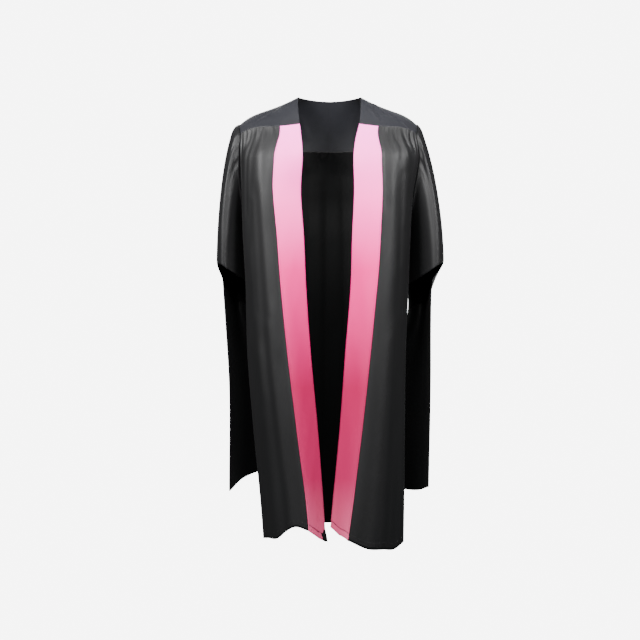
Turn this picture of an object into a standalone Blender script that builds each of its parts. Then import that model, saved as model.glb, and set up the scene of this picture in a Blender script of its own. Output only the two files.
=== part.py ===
"""An open-fronted graduation gown as it hangs when worn, hollow, in metres, +Z up.

The origin is where the yoke bears on the shoulders. The gown faces -Y, and +X is the
wearer's left. Each sewn piece is one cloth wall, worked out from sections of the gown.
"""

import functools
import math

import bmesh
import bpy
import numpy as np

# Cloth and seams
CLOTH = 0.0016
FACING_CLOTH = 0.0013
SEAM_GAP = 0.0003
FACING_WIDTH = 0.075

# Heights of the side seam's ends, below the shoulders
UNDERARM_Z = -0.300
SIDE_HEM_Z = -1.150

# How far each armhole reaches from the side seam: 1 is to the front's fold or to the blade
ARMHOLE_FRONT = 1.05
ARMHOLE_BACK = 1.00

# Rows of the panels: parts of the way from yoke seam to underarm, then heights at the side seam
UPPER_ROWS = (0.0, 0.03, 0.08, 0.16, 0.28, 0.42, 0.58, 0.74, 0.87, 0.95)
LOWER_ROWS = (-0.30, -0.335, -0.39, -0.47, -0.57, -0.68, -0.80, -0.92, -1.04, -1.15)
FINE_ROWS = 4
SEAM_BLEND = 0.34

# Columns of the panels
FACING_COLUMNS = 5
FRONT_COLUMNS = 16
BACK_COLUMNS = 40

# Gathers set into the yoke
FRONT_GATHERS = 9
BACK_GATHERS = 22
GATHER_DEPTH = 0.0017
BACK_GATHER_DEPTH = 0.0021
GATHER_FADE = 0.055

# Sections of the body, half of each: "open" is the front edge, "turn" is how far that edge lies
# behind the facing's other edge, and "corner" is the fold where the front turns to the side
SECTION_NAMES = (
    "z", "open_r", "open_l", "front_y", "turn_r", "turn_l", "corner_r", "corner_l", "corner_y",
    "side_x", "side_y", "blade_x", "blade_y", "centre_y",
)
SECTIONS = (
    (-0.030, 0.081, 0.075, -0.074, 0.004, 0.004, 0.238, 0.233, -0.043, 0.212, 0.002, 0.215, 0.056, 0.098),
    (-0.065, 0.077, 0.067, -0.090, -0.004, -0.004, 0.241, 0.240, -0.046, 0.212, 0.003, 0.215, 0.062, 0.108),
    (-0.120, 0.073, 0.062, -0.107, -0.006, -0.010, 0.241, 0.239, -0.050, 0.210, 0.004, 0.213, 0.072, 0.124),
    (-0.220, 0.078, 0.063, -0.121, 0.018, -0.004, 0.237, 0.222, -0.056, 0.205, 0.005, 0.204, 0.080, 0.134),
    (-0.340, 0.070, 0.058, -0.129, 0.026, 0.008, 0.233, 0.214, -0.061, 0.200, 0.005, 0.192, 0.086, 0.130),
    (-0.460, 0.065, 0.055, -0.136, 0.035, 0.028, 0.226, 0.209, -0.063, 0.196, 0.005, 0.184, 0.090, 0.130),
    (-0.640, 0.053, 0.041, -0.143, 0.044, 0.036, 0.221, 0.201, -0.065, 0.192, 0.006, 0.178, 0.100, 0.140),
    (-0.860, 0.033, 0.025, -0.149, 0.052, 0.048, 0.203, 0.198, -0.067, 0.183, 0.010, 0.168, 0.112, 0.158),
    (-1.050, 0.019, 0.007, -0.152, 0.061, 0.054, 0.184, 0.197, -0.068, 0.170, 0.010, 0.158, 0.120, 0.172),
    (-1.190, 0.010, -0.006, -0.153, 0.062, 0.060, 0.173, 0.195, -0.068, 0.162, 0.010, 0.152, 0.126, 0.180),
)
FACING_EDGE, FRONT_FOLD, SIDE_SEAM, BLADE, CENTRE_BACK = 1, 3, 4, 5, 7

# Places across a front, from its edge (0) to the side seam (1): the facing's other edge at the
# hem and at the yoke seam, where the facing is narrower, then the hem's heights at such places
FACING_PLACE = 0.455
FACING_SEAM_PLACE = 0.33
FRONT_HEMS = {
    "right": (
        (0.0, -1.150), (0.25, -1.133), (FACING_PLACE, -1.114), (0.53, -1.104), (0.60, -1.117),
        (0.66, -1.136), (0.76, -1.140), (1.0, SIDE_HEM_Z),
    ),
    "left": (
        (0.0, -1.110), (0.22, -1.125), (FACING_PLACE, -1.140), (0.57, -1.163), (0.66, -1.166),
        (0.745, -1.168), (0.80, -1.156), (1.0, SIDE_HEM_Z),
    ),
}
CENTRE_HEM_Z = -1.128

# Ribs of half the yoke, from its front seam round to the centre back: neck edge, outer edge,
# and how far the rib swells in y all along and in z near the shoulder
YOKE_NAMES = (
    "neck_x", "neck_y", "neck_z", "edge_x", "edge_y", "edge_z", "swell_y", "swell_z",
)
YOKE_RIBS = (
    (0.0810, -0.0700, -0.0390, 0.2400, -0.0440, -0.0630, -0.012, 0.009),
    (0.0850, -0.0420, 0.0010, 0.2440, -0.0200, -0.0430, -0.006, 0.009),
    (0.0864, -0.0070, 0.0370, 0.2430, 0.0050, -0.0350, 0.000, 0.009),
    (0.0800, 0.0280, 0.0410, 0.2360, 0.0330, -0.0500, 0.003, 0.008),
    (0.0620, 0.0540, 0.0400, 0.2150, 0.0600, -0.0820, 0.008, 0.004),
    (0.0330, 0.0690, 0.0375, 0.1130, 0.1010, -0.0960, 0.010, 0.001),
    (0.0000, 0.0740, 0.0360, 0.0000, 0.1180, -0.1000, 0.011, 0.000),
)
YOKE_SWELL_POWER = 2.5
ARMHOLE_RIBS = 4
ROWS_PER_RIB = 2
YOKE_COLUMNS = 10
SHOULDER_SPREAD = {"right": 1.0, "left": 0.962}

# Folds of the fronts: place from the facing (0) to the corner (1) at each end, depth outwards
FOLD_NAMES = ("place_top", "place_low", "z_top", "z_low", "width", "depth")
FRONT_FOLDS = {
    "right": (
        (0.90, 0.92, -0.080, -0.26, 0.007, -0.0045),
        (0.52, 0.74, -0.060, -0.40, 0.012, -0.0055),
        (0.70, 0.55, -0.100, -0.80, 0.016, 0.0060),
        (0.42, 0.40, -0.200, -1.20, 0.016, -0.0070),
        (0.20, 0.18, -0.060, -0.55, 0.012, -0.0050),
        (0.58, 0.62, -0.620, -1.25, 0.018, 0.0080),
        (0.84, 0.84, -0.450, -1.25, 0.015, -0.0070),
        (0.16, 0.14, -0.640, -1.25, 0.014, -0.0060),
    ),
    "left": (
        (0.48, 0.42, -0.060, -0.17, 0.009, -0.0045),
        (0.08, 0.10, -0.060, -0.30, 0.010, -0.0040),
        (0.78, 0.80, -0.100, -0.28, 0.012, -0.0050),
        (0.36, 0.62, -0.130, -0.60, 0.015, -0.0065),
        (0.60, 0.45, -0.090, -0.48, 0.014, 0.0050),
        (0.22, 0.24, -0.230, -1.25, 0.015, -0.0065),
        (0.46, 0.50, -0.550, -1.25, 0.017, 0.0080),
        (0.78, 0.76, -0.560, -1.25, 0.017, -0.0070),
    ),
}

# Folds of the back: place from the wearer's right side seam (0) to the left one (1)
BACK_FOLDS = (
    (0.10, 0.08, -0.130, -1.25, 0.018, -0.0060),
    (0.19, 0.17, -0.110, -1.25, 0.020, 0.0080),
    (0.28, 0.26, -0.140, -1.25, 0.017, -0.0075),
    (0.36, 0.35, -0.110, -1.25, 0.019, 0.0085),
    (0.44, 0.44, -0.130, -1.25, 0.017, -0.0080),
    (0.52, 0.53, -0.120, -1.25, 0.020, 0.0085),
    (0.60, 0.62, -0.110, -1.25, 0.016, -0.0075),
    (0.69, 0.71, -0.130, -1.25, 0.020, 0.0085),
    (0.78, 0.80, -0.120, -1.25, 0.017, -0.0070),
    (0.87, 0.90, -0.140, -1.25, 0.018, 0.0065),
)
FOLD_FADE = 0.060

# The sleeve's edge at the arm opening, a ring that starts at the fold beside the body
ELBOW_NAMES = ("x_r", "x_l", "y")
ELBOW_RING = (
    (0.2220, 0.2130, 0.030),
    (0.2520, 0.2430, -0.032),
    (0.2740, 0.2700, -0.082),
    (0.2950, 0.2950, -0.078),
    (0.3050, 0.3060, -0.020),
    (0.2930, 0.2930, 0.070),
    (0.2600, 0.2600, 0.122),
    (0.2280, 0.2240, 0.104),
)
ELBOW_OUTER_X = 0.306
ELBOW_OUTER_Z = -0.404
ELBOW_SLANT = 0.66
SLEEVE_ROWS = (0.0, 0.012, 0.035, 0.07, 0.13, 0.22, 0.34, 0.48, 0.64, 0.82, 1.0)
SLEEVE_FINE_ROWS = 4
SWING_POWER = 0.45
OUTER_SWING_POWER = {"right": 0.52, "left": 0.74}
HEAD_LIFT = 0.006
HEAD_LIFT_PLACE = 0.03
FLAT_PUFF = 0.25
HEAD_GATHERS = 14
HEAD_GATHER_DEPTH = 0.0026

# Folds of the sleeve's tube: place round it (0.5 is outermost), how far down, width, depth
SLEEVE_FOLD_NAMES = ("place", "start", "end", "width", "depth")
SLEEVE_FOLDS = (
    (0.30, 0.00, 0.80, 0.030, -0.0060),
    (0.37, 0.02, 0.95, 0.026, 0.0055),
    (0.43, 0.00, 0.60, 0.022, -0.0055),
    (0.57, 0.00, 0.70, 0.026, -0.0050),
    (0.65, 0.02, 0.95, 0.030, 0.0055),
    (0.73, 0.00, 0.85, 0.028, -0.0055),
)

# The long closed end: its outer fold, its middle and its inner edge, and its bottom
END_NAMES = (
    "part", "outer_r", "outer_l", "outer_y", "middle_x", "middle_y", "inner_x", "inner_y",
)
END_SECTIONS = (
    (0.00, 0.2930, 0.2800, -0.008, 0.2790, 0.090, 0.2200, 0.066),
    (0.13, 0.2880, 0.2745, -0.004, 0.2660, 0.096, 0.2100, 0.094),
    (0.28, 0.2820, 0.2730, 0.000, 0.2550, 0.100, 0.1970, 0.126),
    (0.50, 0.2735, 0.2727, 0.000, 0.2450, 0.101, 0.1800, 0.156),
    (1.00, 0.2725, 0.2670, 0.000, 0.2360, 0.098, 0.1620, 0.182),
)
END_BLEND = 0.34
OUTER_BLEND_SHARE = 0.25
END_BOTTOMS = {"right": (-1.023, -0.994, -0.972), "left": (-1.012, -1.030, -1.028)}
END_ROWS = (0.0, 0.05, 0.11, 0.18, 0.27, 0.38, 0.50, 0.62, 0.74, 0.87, 1.0)
END_MOUTH_ROW = 2
END_LOOSE = 0.0022

SIDES = {"right": -1.0, "left": 1.0}

# Colours and finishes
BLACK_CLOTH = (0.012, 0.012, 0.014)
YOKE_CLOTH = (0.016, 0.017, 0.020)
PINK_SATIN = (0.72, 0.13, 0.30)
CLOTH_ROUGHNESS = 0.55
SATIN_ROUGHNESS = 0.35


def ease(part):
    """A smooth step from 0 to 1."""
    part = min(max(part, 0.0), 1.0)
    return part * part * (3.0 - 2.0 * part)


def curve_through(places, values, place):
    """A smooth curve through values at rising places."""
    places = np.asarray(places, float)
    values = np.asarray(values, float)
    slopes = np.gradient(values, places, axis=0)
    k = int(np.clip(np.searchsorted(places, place) - 1, 0, len(places) - 2))
    step = places[k + 1] - places[k]
    t = (min(max(place, places[0]), places[-1]) - places[k]) / step
    return (
        (2 * t**3 - 3 * t**2 + 1) * values[k]
        + (t**3 - 2 * t**2 + t) * step * slopes[k]
        + (3 * t**2 - 2 * t**3) * values[k + 1]
        + (t**3 - t**2) * step * slopes[k + 1]
    )


def named(names, row):
    return dict(zip(names, row))


@functools.lru_cache(maxsize=None)
def section(side, z):
    """The plan of half the body at a height: its points, their distances and those of the stations."""
    rows = np.array(SECTIONS)[::-1]
    at = named(SECTION_NAMES, curve_through(rows[:, 0], rows, z))
    open_x = at["open_r"] if side == "right" else at["open_l"]
    corner_x = at["corner_r"] if side == "right" else at["corner_l"]
    turn = at["turn_r"] if side == "right" else at["turn_l"]
    facing_x = open_x + math.sqrt(FACING_WIDTH**2 - turn**2)
    middle_y = 0.85 * at["front_y"] + 0.15 * at["corner_y"]
    stations = np.array(
        [
            (open_x, at["front_y"] + turn),
            (facing_x, at["front_y"]),
            (0.5 * (facing_x + corner_x), middle_y),
            (corner_x, at["corner_y"]),
            (at["side_x"], at["side_y"]),
            (at["blade_x"], at["blade_y"]),
            (0.55 * at["blade_x"], 0.25 * at["blade_y"] + 0.75 * at["centre_y"]),
            (0.0, at["centre_y"]),
        ]
    )
    before = 2 * stations[0] - stations[1]
    after = stations[-2] * (-1.0, 1.0)
    knots = np.vstack([before, stations, after])
    samples = 12
    points = [
        curve_through((0, 1, 2, 3), knots[k : k + 4], 1 + i / samples)
        for k in range(len(stations) - 1)
        for i in range(samples)
    ]
    points = np.array(points + [stations[-1]]) * (SIDES[side], 1.0)
    steps = np.linalg.norm(np.diff(points, axis=0), axis=1)
    distances = np.concatenate([[0.0], np.cumsum(steps)])
    return points, distances, distances[::samples]


def on_section(side, z, distance):
    """A point of the plan, and the direction out of the cloth there."""
    points, distances, _ = section(side, round(z, 5))
    x = np.interp(distance, distances, points[:, 0])
    y = np.interp(distance, distances, points[:, 1])
    k = int(np.clip(np.searchsorted(distances, distance) - 1, 0, len(points) - 2))
    along = points[k + 1] - points[k]
    out = -SIDES[side] * np.array([-along[1], along[0]])
    return np.array([x, y]), out / np.linalg.norm(out)


def fold_depth(folds, place, length, z):
    """How far the folds move the cloth out, at a place along a panel of this length."""
    total = 0.0
    for row in folds:
        fold = named(FOLD_NAMES, row)
        down = (z - fold["z_top"]) / (fold["z_low"] - fold["z_top"])
        lean = fold["place_low"] - fold["place_top"]
        centre = fold["place_top"] + lean * min(max(down, 0.0), 1.0)
        away = (place - centre) * length / fold["width"]
        fade = ease((fold["z_top"] - z) / FOLD_FADE + 0.3) * ease((z - fold["z_low"]) / FOLD_FADE)
        total += fold["depth"] * math.exp(-away * away) * fade
    return total


def gather(count, part, drop, depth):
    """The small waves of cloth drawn up into a seam, uneven, and gone a little below it."""
    phase = 2 * math.pi * (count * part + 0.22 * math.sin(5.0 * part + 1.0))
    height = 0.75 + 0.25 * math.sin(17.0 * part)
    return depth * height * math.cos(phase) * math.exp(-drop / GATHER_FADE)


def yoke_rib(side, rib, across):
    """A point of the yoke: rib 0 is the front seam and 6 the centre back, across 0 is the neck edge."""
    table = np.array(YOKE_RIBS)
    at = named(YOKE_NAMES, curve_through(range(len(table)), table, rib))
    neck = np.array([at["neck_x"] * SHOULDER_SPREAD[side], at["neck_y"], at["neck_z"]])
    edge = np.array([at["edge_x"] * SHOULDER_SPREAD[side], at["edge_y"], at["edge_z"]])
    point = neck + (edge - neck) * across
    point[1] += at["swell_y"] * math.sin(math.pi * across)
    point[2] += at["swell_z"] * math.sin(math.pi * across**YOKE_SWELL_POWER)
    point[0] *= SIDES[side]
    return point


def unit(vector):
    return vector / np.linalg.norm(vector)


def seam_out(curve, place):
    """The level direction out of the cloth along a seam."""
    step = 0.05
    along = curve(min(place + step, 1.0)) - curve(max(place - step, 0.0))
    out = unit(np.array([along[1], -along[0], 0.0]))
    return out if out @ curve(place) >= 0 else -out


@functools.lru_cache(maxsize=None)
def seam_points(side, which):
    """The yoke's own points along its front seam, or along its back seam to the centre."""
    if which == "front":
        return np.array([yoke_rib(side, 0, k / YOKE_COLUMNS) for k in range(YOKE_COLUMNS + 1)])
    count = 2 * ROWS_PER_RIB
    return np.array([yoke_rib(side, ARMHOLE_RIBS + 2 * k / count, 1.0) for k in range(count + 1)])


def seam_curve(side, which):
    """The straight stretches between the yoke's points, which the gathered panel follows."""
    points = seam_points(side, which)
    places = np.linspace(0.0, 1.0, len(points))
    return lambda place: np.array([np.interp(place, places, points[:, k]) for k in range(3)])


def front_seam(side):
    return seam_curve(side, "front")


def back_seam(side):
    return seam_curve(side, "back")


def armhole_reach(reach, part):
    """How far the armhole's edge lies from the side seam, part of the way down to the underarm."""
    return reach * math.sqrt(max(1 - part**3, 0.0))


def panel_height(top, hem, row):
    """The height of a panel's row between its yoke seam and its hem."""
    if row < len(UPPER_ROWS):
        return top + (UNDERARM_Z - top) * UPPER_ROWS[row]
    down = (LOWER_ROWS[row - len(UPPER_ROWS)] - UNDERARM_Z) / (SIDE_HEM_Z - UNDERARM_Z)
    return UNDERARM_Z + (hem - UNDERARM_Z) * down


def seam_part(row):
    return UPPER_ROWS[row] if row < len(UPPER_ROWS) else 1.0


def panel_point(side, seam, place, z, distance, row):
    """A point of a panel before its folds: on the section, drawn to its yoke seam near the top."""
    plan, out = on_section(side, z, distance)
    near_seam = 1 - ease(seam_part(row) / SEAM_BLEND)
    if near_seam > 0:
        top = seam(place)
        top_plan, _ = on_section(side, top[2] - SEAM_GAP, distance)
        plan = plan + (top[:2] - top_plan) * near_seam
        out = out + (seam_out(seam, place)[:2] - out) * near_seam
    return np.array([*plan, z]), unit(np.array([*out, 0.0]))


def front_row(side, row):
    """One row of a front: keys across it, points of its outer face and directions out."""
    seam = front_seam(side)
    part = seam_part(row)
    hem_places, hem_heights = zip(*FRONT_HEMS[side])
    step = 1 if row < FINE_ROWS else 2
    keys = list(range(0, 2 * FACING_COLUMNS, 2))
    keys += range(2 * FACING_COLUMNS, 2 * (FACING_COLUMNS + FRONT_COLUMNS) + 1, step)
    result = []
    for key in keys:
        column = key / 2
        beyond = (column - FACING_COLUMNS) / FRONT_COLUMNS
        if beyond <= 0:
            place = FACING_PLACE * column / FACING_COLUMNS
            seam_place = FACING_SEAM_PLACE * column / FACING_COLUMNS
        else:
            place = FACING_PLACE + (1 - FACING_PLACE) * beyond
            seam_place = FACING_SEAM_PLACE + (1 - FACING_SEAM_PLACE) * beyond
        top = seam(seam_place)[2] - SEAM_GAP
        hem = curve_through(hem_places, hem_heights, place)
        z = panel_height(top, hem, row)
        stations = section(side, round(z, 5))[2]
        facing = stations[FACING_EDGE]
        reach = (stations[SIDE_SEAM] - stations[FRONT_FOLD]) * ARMHOLE_FRONT
        edge = stations[SIDE_SEAM] - SEAM_GAP / 2 - armhole_reach(reach, part)
        if beyond <= 0:
            distance = facing * column / FACING_COLUMNS
        else:
            distance = facing + (edge - facing) * beyond
        point, out = panel_point(side, seam, seam_place, z, distance, row)
        if beyond > 0:
            length = stations[FRONT_FOLD] - facing
            depth = fold_depth(FRONT_FOLDS[side], (distance - facing) / length, length, z)
            depth += gather(FRONT_GATHERS, beyond, top - z, GATHER_DEPTH)
            point = point + out * depth * ease(beyond / 0.08) * ease((1 - beyond) / 0.10)
        result.append((key, point, out))
    return result


def back_row(row):
    """One row of the back, from the wearer's right side seam to the left one."""
    part = seam_part(row)
    step = 1 if row < FINE_ROWS else 2
    result = []
    for key in range(0, 2 * BACK_COLUMNS + 1, step):
        place = key / (2 * BACK_COLUMNS)
        side = "right" if place <= 0.5 else "left"
        inwards = 2 * min(place, 1 - place)
        seam = back_seam(side)
        top = seam(inwards)[2] - SEAM_GAP
        hem = SIDE_HEM_Z + (CENTRE_HEM_Z - SIDE_HEM_Z) * ease(inwards)
        z = panel_height(top, hem, row)
        stations = section(side, round(z, 5))[2]
        reach = (stations[BLADE] - stations[SIDE_SEAM]) * ARMHOLE_BACK
        edge = stations[SIDE_SEAM] + SEAM_GAP / 2 + armhole_reach(reach, part)
        length = stations[CENTRE_BACK] - stations[SIDE_SEAM]
        distance = edge + (stations[CENTRE_BACK] - edge) * inwards
        point, out = panel_point(side, seam, inwards, z, distance, row)
        across = 0.5 * (distance - stations[SIDE_SEAM]) / length
        across = across if side == "right" else 1 - across
        depth = fold_depth(BACK_FOLDS, across, 2 * length, z)
        depth += gather(BACK_GATHERS, place, top - z, BACK_GATHER_DEPTH)
        point = point + out * depth * ease(inwards / 0.10)
        result.append((key, point, out))
    return result


def yoke_out(side, rib, across):
    """The direction out of the yoke, level along its front and back seams."""
    if rib <= 0:
        return seam_out(front_seam(side), across)
    if across >= 1 and rib >= ARMHOLE_RIBS:
        return seam_out(back_seam(side), (rib - ARMHOLE_RIBS) / 2)
    step = 0.02
    last = len(YOKE_RIBS) - 1
    ahead = yoke_rib(side, min(rib + step, last), across)
    behind = yoke_rib(side, max(rib - step, 0), across)
    outer = yoke_rib(side, rib, min(across + step, 1))
    inner = yoke_rib(side, rib, max(across - step, 0))
    out = unit(np.cross(ahead - behind, outer - inner))
    centre = np.array([0.0, 0.0, -0.15])
    return out if out @ (yoke_rib(side, rib, across) - centre) >= 0 else -out


def yoke_rows():
    """Rows of the yoke from the wearer's right front seam round the neck to the left one."""
    last = len(YOKE_RIBS) - 1
    ribs = [k / ROWS_PER_RIB for k in range(last * ROWS_PER_RIB + 1)]
    stations = [("right", rib) for rib in ribs] + [("left", rib) for rib in reversed(ribs[:-1])]
    return [
        [
            (
                key,
                yoke_rib(side, rib, key / YOKE_COLUMNS),
                yoke_out(side, rib, key / YOKE_COLUMNS),
            )
            for key in range(YOKE_COLUMNS + 1)
        ]
        for side, rib in stations
    ]


def armhole_loop(side, front_rows, back_rows):
    """The armhole's edge from the underarm up the front, over the shoulder and down the back."""
    upper = range(1, len(UPPER_ROWS))
    back_end = 0 if side == "right" else -1
    under_front = front_rows[len(UPPER_ROWS)][-1]
    under_back = back_rows[len(UPPER_ROWS)][back_end]
    under = (0.5 * (under_front[1] + under_back[1]), under_front[2])
    loop = [under]
    loop += [front_rows[row][-1][1:] for row in reversed(upper)]
    for k in range(ARMHOLE_RIBS * ROWS_PER_RIB + 1):
        rib = k / ROWS_PER_RIB
        loop.append((yoke_rib(side, rib, 1.0), yoke_out(side, rib, 1.0)))
    shoulder_top = len(upper) + 1 + 2 * ROWS_PER_RIB
    loop += [back_rows[row][back_end][1:] for row in upper]
    loop.append(under)
    return np.array([p for p, _ in loop]), np.array([n for _, n in loop]), shoulder_top


def elbow_point(side, place):
    """A point of the sleeve's edge at the arm opening, place 0 beside the body and 0.5 outermost."""
    ring = np.array(ELBOW_RING)
    count = len(ring)
    ring = np.vstack([ring[-2:], ring, ring[:3]])
    at = named(ELBOW_NAMES, curve_through(range(-2, count + 3), ring, place * count))
    x = at["x_r"] if side == "right" else at["x_l"]
    z = ELBOW_OUTER_Z - ELBOW_SLANT * (ELBOW_OUTER_X - x)
    return np.array([x * SIDES[side], at["y"], z])


def end_point(side, place, part):
    """A point of the long end's back layer, place 0 at its outer fold and 1 at its inner edge."""
    table = np.array(END_SECTIONS)
    at = named(END_NAMES, curve_through(table[:, 0], table, part))
    outer_x = at["outer_r"] if side == "right" else at["outer_l"]
    across = (
        (outer_x, at["outer_y"]),
        (at["middle_x"], at["middle_y"]),
        (at["inner_x"], at["inner_y"]),
    )
    x, y = curve_through((0.0, 0.5, 1.0), across, place)
    elbow = elbow_point(side, 0.5 + place / 2)
    bottom = curve_through((0.0, 0.5, 1.0), END_BOTTOMS[side], place)
    hang = np.array([x * SIDES[side], y, 0.0])
    blend = END_BLEND * (OUTER_BLEND_SHARE + (1 - OUTER_BLEND_SHARE) * place)
    point = elbow + (hang - elbow) * ease(part / blend)
    point[2] = elbow[2] + (bottom - elbow[2]) * part
    return point


def spread(side, place, down):
    """How far out a sleeve has swung, part of the way down to the elbow."""
    outer = math.sin(math.pi * place) ** 2
    power = SWING_POWER + (OUTER_SWING_POWER[side] - SWING_POWER) * outer
    return (1 - (1 - down) ** 1.7) ** power


def sleeve_points(side, loop, outs, shoulder_top):
    """The sleeve's outer face before its folds: rows down, and two columns for each edge point.

    The sleeve's own edge lies on the outside of the armhole's edge.
    """
    steps = np.linalg.norm(np.diff(loop, axis=0), axis=1)
    distances = np.concatenate([[0.0], np.cumsum(steps)])
    top = distances[shoulder_top]
    places = np.interp(distances, (0.0, top, distances[-1]), (0.0, 0.5, 1.0))
    along = np.roll(loop[:-1], -1, axis=0) - np.roll(loop[:-1], 1, axis=0)
    along = np.vstack([along, along[:1]])
    away = SIDES[side] * np.cross(along, outs)
    away /= np.linalg.norm(away, axis=1)[:, None]
    fine = np.arange(0, len(loop) - 0.5, 0.5)
    whole = np.arange(len(loop))
    loop, outs, away = (
        np.column_stack([np.interp(fine, whole, part[:, axis]) for axis in range(3)])
        for part in (loop, outs, away)
    )
    outs /= np.linalg.norm(outs, axis=1)[:, None]
    loop = loop + outs * (CLOTH + SEAM_GAP)
    places = np.interp(fine, whole, places)
    rows = []
    for down in SLEEVE_ROWS:
        puff = HEAD_LIFT * down / HEAD_LIFT_PLACE * math.exp(1 - down / HEAD_LIFT_PLACE)
        row = []
        for start, leave, place in zip(loop, away, places):
            elbow = elbow_point(side, place)
            point = start + leave * puff * (FLAT_PUFF + (1 - FLAT_PUFF) * abs(leave[2]))
            point[:2] += (elbow - start)[:2] * spread(side, place, down)
            point[2] += (elbow - start)[2] * down
            row.append(point)
        rows.append(row)
    return np.array(rows), places


def face_outs(side, grid, ring):
    """Directions out of a grid of points."""
    if ring:
        inner = grid[:, :-1]
        round_it = np.roll(inner, -1, axis=1) - np.roll(inner, 1, axis=1)
        round_it = np.concatenate([round_it, round_it[:, :1]], axis=1)
    else:
        round_it = np.gradient(grid, axis=1)
    down_it = np.gradient(grid, axis=0)
    outs = -SIDES[side] * np.cross(round_it, down_it)
    return outs / np.linalg.norm(outs, axis=2)[:, :, None]


def sleeve_depth(place, down):
    """How far gathers and folds move the sleeve out, at a place round it."""
    head = ease((place - 0.22) / 0.10) * ease((0.78 - place) / 0.10)
    depth = head * gather(HEAD_GATHERS, 1.6 * place, 0.4 * down, HEAD_GATHER_DEPTH) * ease(down / 0.012)
    for row in SLEEVE_FOLDS:
        fold = named(SLEEVE_FOLD_NAMES, row)
        away = (place - fold["place"]) / fold["width"]
        fade = ease((down - fold["start"]) / 0.08) * ease((fold["end"] - down) / 0.30)
        depth += fold["depth"] * math.exp(-away * away) * fade
    return depth


def sleeve_rows(side, front_rows, back_rows):
    """The rows of a sleeve's tube, and below them those of its long back layer."""
    loop, loop_outs, shoulder_top = armhole_loop(side, front_rows, back_rows)
    grid, places = sleeve_points(side, loop, loop_outs, shoulder_top)
    outs = face_outs(side, grid, True)
    last = len(places) - 1
    rows = []
    for r, down in enumerate(SLEEVE_ROWS):
        step = 1 if r < SLEEVE_FINE_ROWS else 2
        keys = range(0, last + 1, step)
        rows.append(
            [(k, grid[r, k] + outs[r, k] * sleeve_depth(places[k], down), outs[r, k]) for k in keys]
        )
    outer = 2 * shoulder_top
    keys = range(outer, last + 1, 2)
    end_grid = np.array(
        [[end_point(side, 2 * places[k] - 1, part) for k in keys] for part in END_ROWS]
    )
    end_outs = face_outs(side, end_grid, False)
    end = [
        [(k, end_grid[r, i], end_outs[r, i]) for i, k in enumerate(keys)]
        for r in range(1, len(END_ROWS))
    ]
    return rows, end


def shifted(rows, distance):
    """Rows moved along their own directions out."""
    return [[(key, point + out * distance, out) for key, point, out in row] for row in rows]


def pocket_rows(end):
    """The front layer of a sleeve's long end, made from the back layer's points, moved inwards."""
    rows = []
    for row in end[END_MOUTH_ROW:]:
        first, last = row[0][0], row[-1][0]
        moved = []
        for key, point, out in row:
            loose = END_LOOSE * math.sin(math.pi * (key - first) / (last - first))
            moved.append((key, point - out * (CLOTH + SEAM_GAP + loose), out))
        rows.append(moved)
    for i, (key, point, out) in enumerate(rows[-1]):
        rows[-1][i] = (key, end[-1][i][1] - out * (CLOTH + SEAM_GAP), out)
    return rows


def between(upper, lower):
    """The faces between two rows of keys, which need not have the same number of points."""
    faces = []
    i = j = 0
    while i < len(upper) - 1 or j < len(lower) - 1:
        next_upper = upper[i + 1] if i < len(upper) - 1 else math.inf
        next_lower = lower[j + 1] if j < len(lower) - 1 else math.inf
        if next_upper == next_lower:
            faces.append((("u", i), ("u", i + 1), ("l", j + 1), ("l", j)))
            i += 1
            j += 1
        elif next_upper < next_lower:
            faces.append((("u", i), ("u", i + 1), ("l", j)))
            i += 1
        else:
            faces.append((("u", i), ("l", j + 1), ("l", j)))
            j += 1
    return faces


def sheet_faces(rows, ring_rows):
    """The faces of a sheet as tuples of (row, key); a ring row's last key is its first point."""
    faces = []
    for r in range(len(rows) - 1):
        lower = [key for key, _, _ in rows[r + 1]]
        upper = [key for key, _, _ in rows[r] if lower[0] <= key <= lower[-1]]
        for face in between(upper, lower):
            corners = []
            for which, k in face:
                row = r if which == "u" else r + 1
                key = upper[k] if which == "u" else lower[k]
                if row < ring_rows and key == rows[row][-1][0]:
                    key = rows[row][0][0]
                corners.append((row, key))
            faces.append(tuple(corners))
    return faces


def cloth_wall(name, rows, thickness, material, ring_rows=0):
    """A wall of cloth from rows of its outer face, closed round its edges."""
    faces = sheet_faces(rows, ring_rows)
    edges = {edge for face in faces for edge in zip(face, face[1:] + face[:1])}
    rim = [(a, b) for a, b in edges if (b, a) not in edges]
    places = {(r, key): (point, out) for r, row in enumerate(rows) for key, point, out in row}
    used = sorted({corner for face in faces for corner in face})
    work = bmesh.new()
    outer = {corner: work.verts.new(places[corner][0]) for corner in used}
    inner = {
        corner: work.verts.new(places[corner][0] - places[corner][1] * thickness) for corner in used
    }
    for face in faces:
        work.faces.new([outer[corner] for corner in face])
        work.faces.new([inner[corner] for corner in reversed(face)])
    for a, b in sorted(rim):
        work.faces.new([outer[b], outer[a], inner[a], inner[b]])
    bmesh.ops.triangulate(work, faces=work.faces[:])
    bmesh.ops.recalc_face_normals(work, faces=work.faces[:])
    mesh = bpy.data.meshes.new(name)
    work.to_mesh(mesh)
    work.free()
    mesh.materials.append(material)
    mesh.shade_smooth()
    mesh.set_sharp_from_angle(angle=math.radians(50))
    piece = bpy.data.objects.new(name, mesh)
    bpy.context.collection.objects.link(piece)
    return piece


def finish(name, colour, roughness):
    """A material of the cloth's colour."""
    material = bpy.data.materials.new(name)
    material.use_nodes = True
    shader = material.node_tree.nodes["Principled BSDF"]
    shader.inputs["Base Color"].default_value = (*colour, 1.0)
    shader.inputs["Roughness"].default_value = roughness
    shader.inputs["Metallic"].default_value = 0.0
    return material


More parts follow.
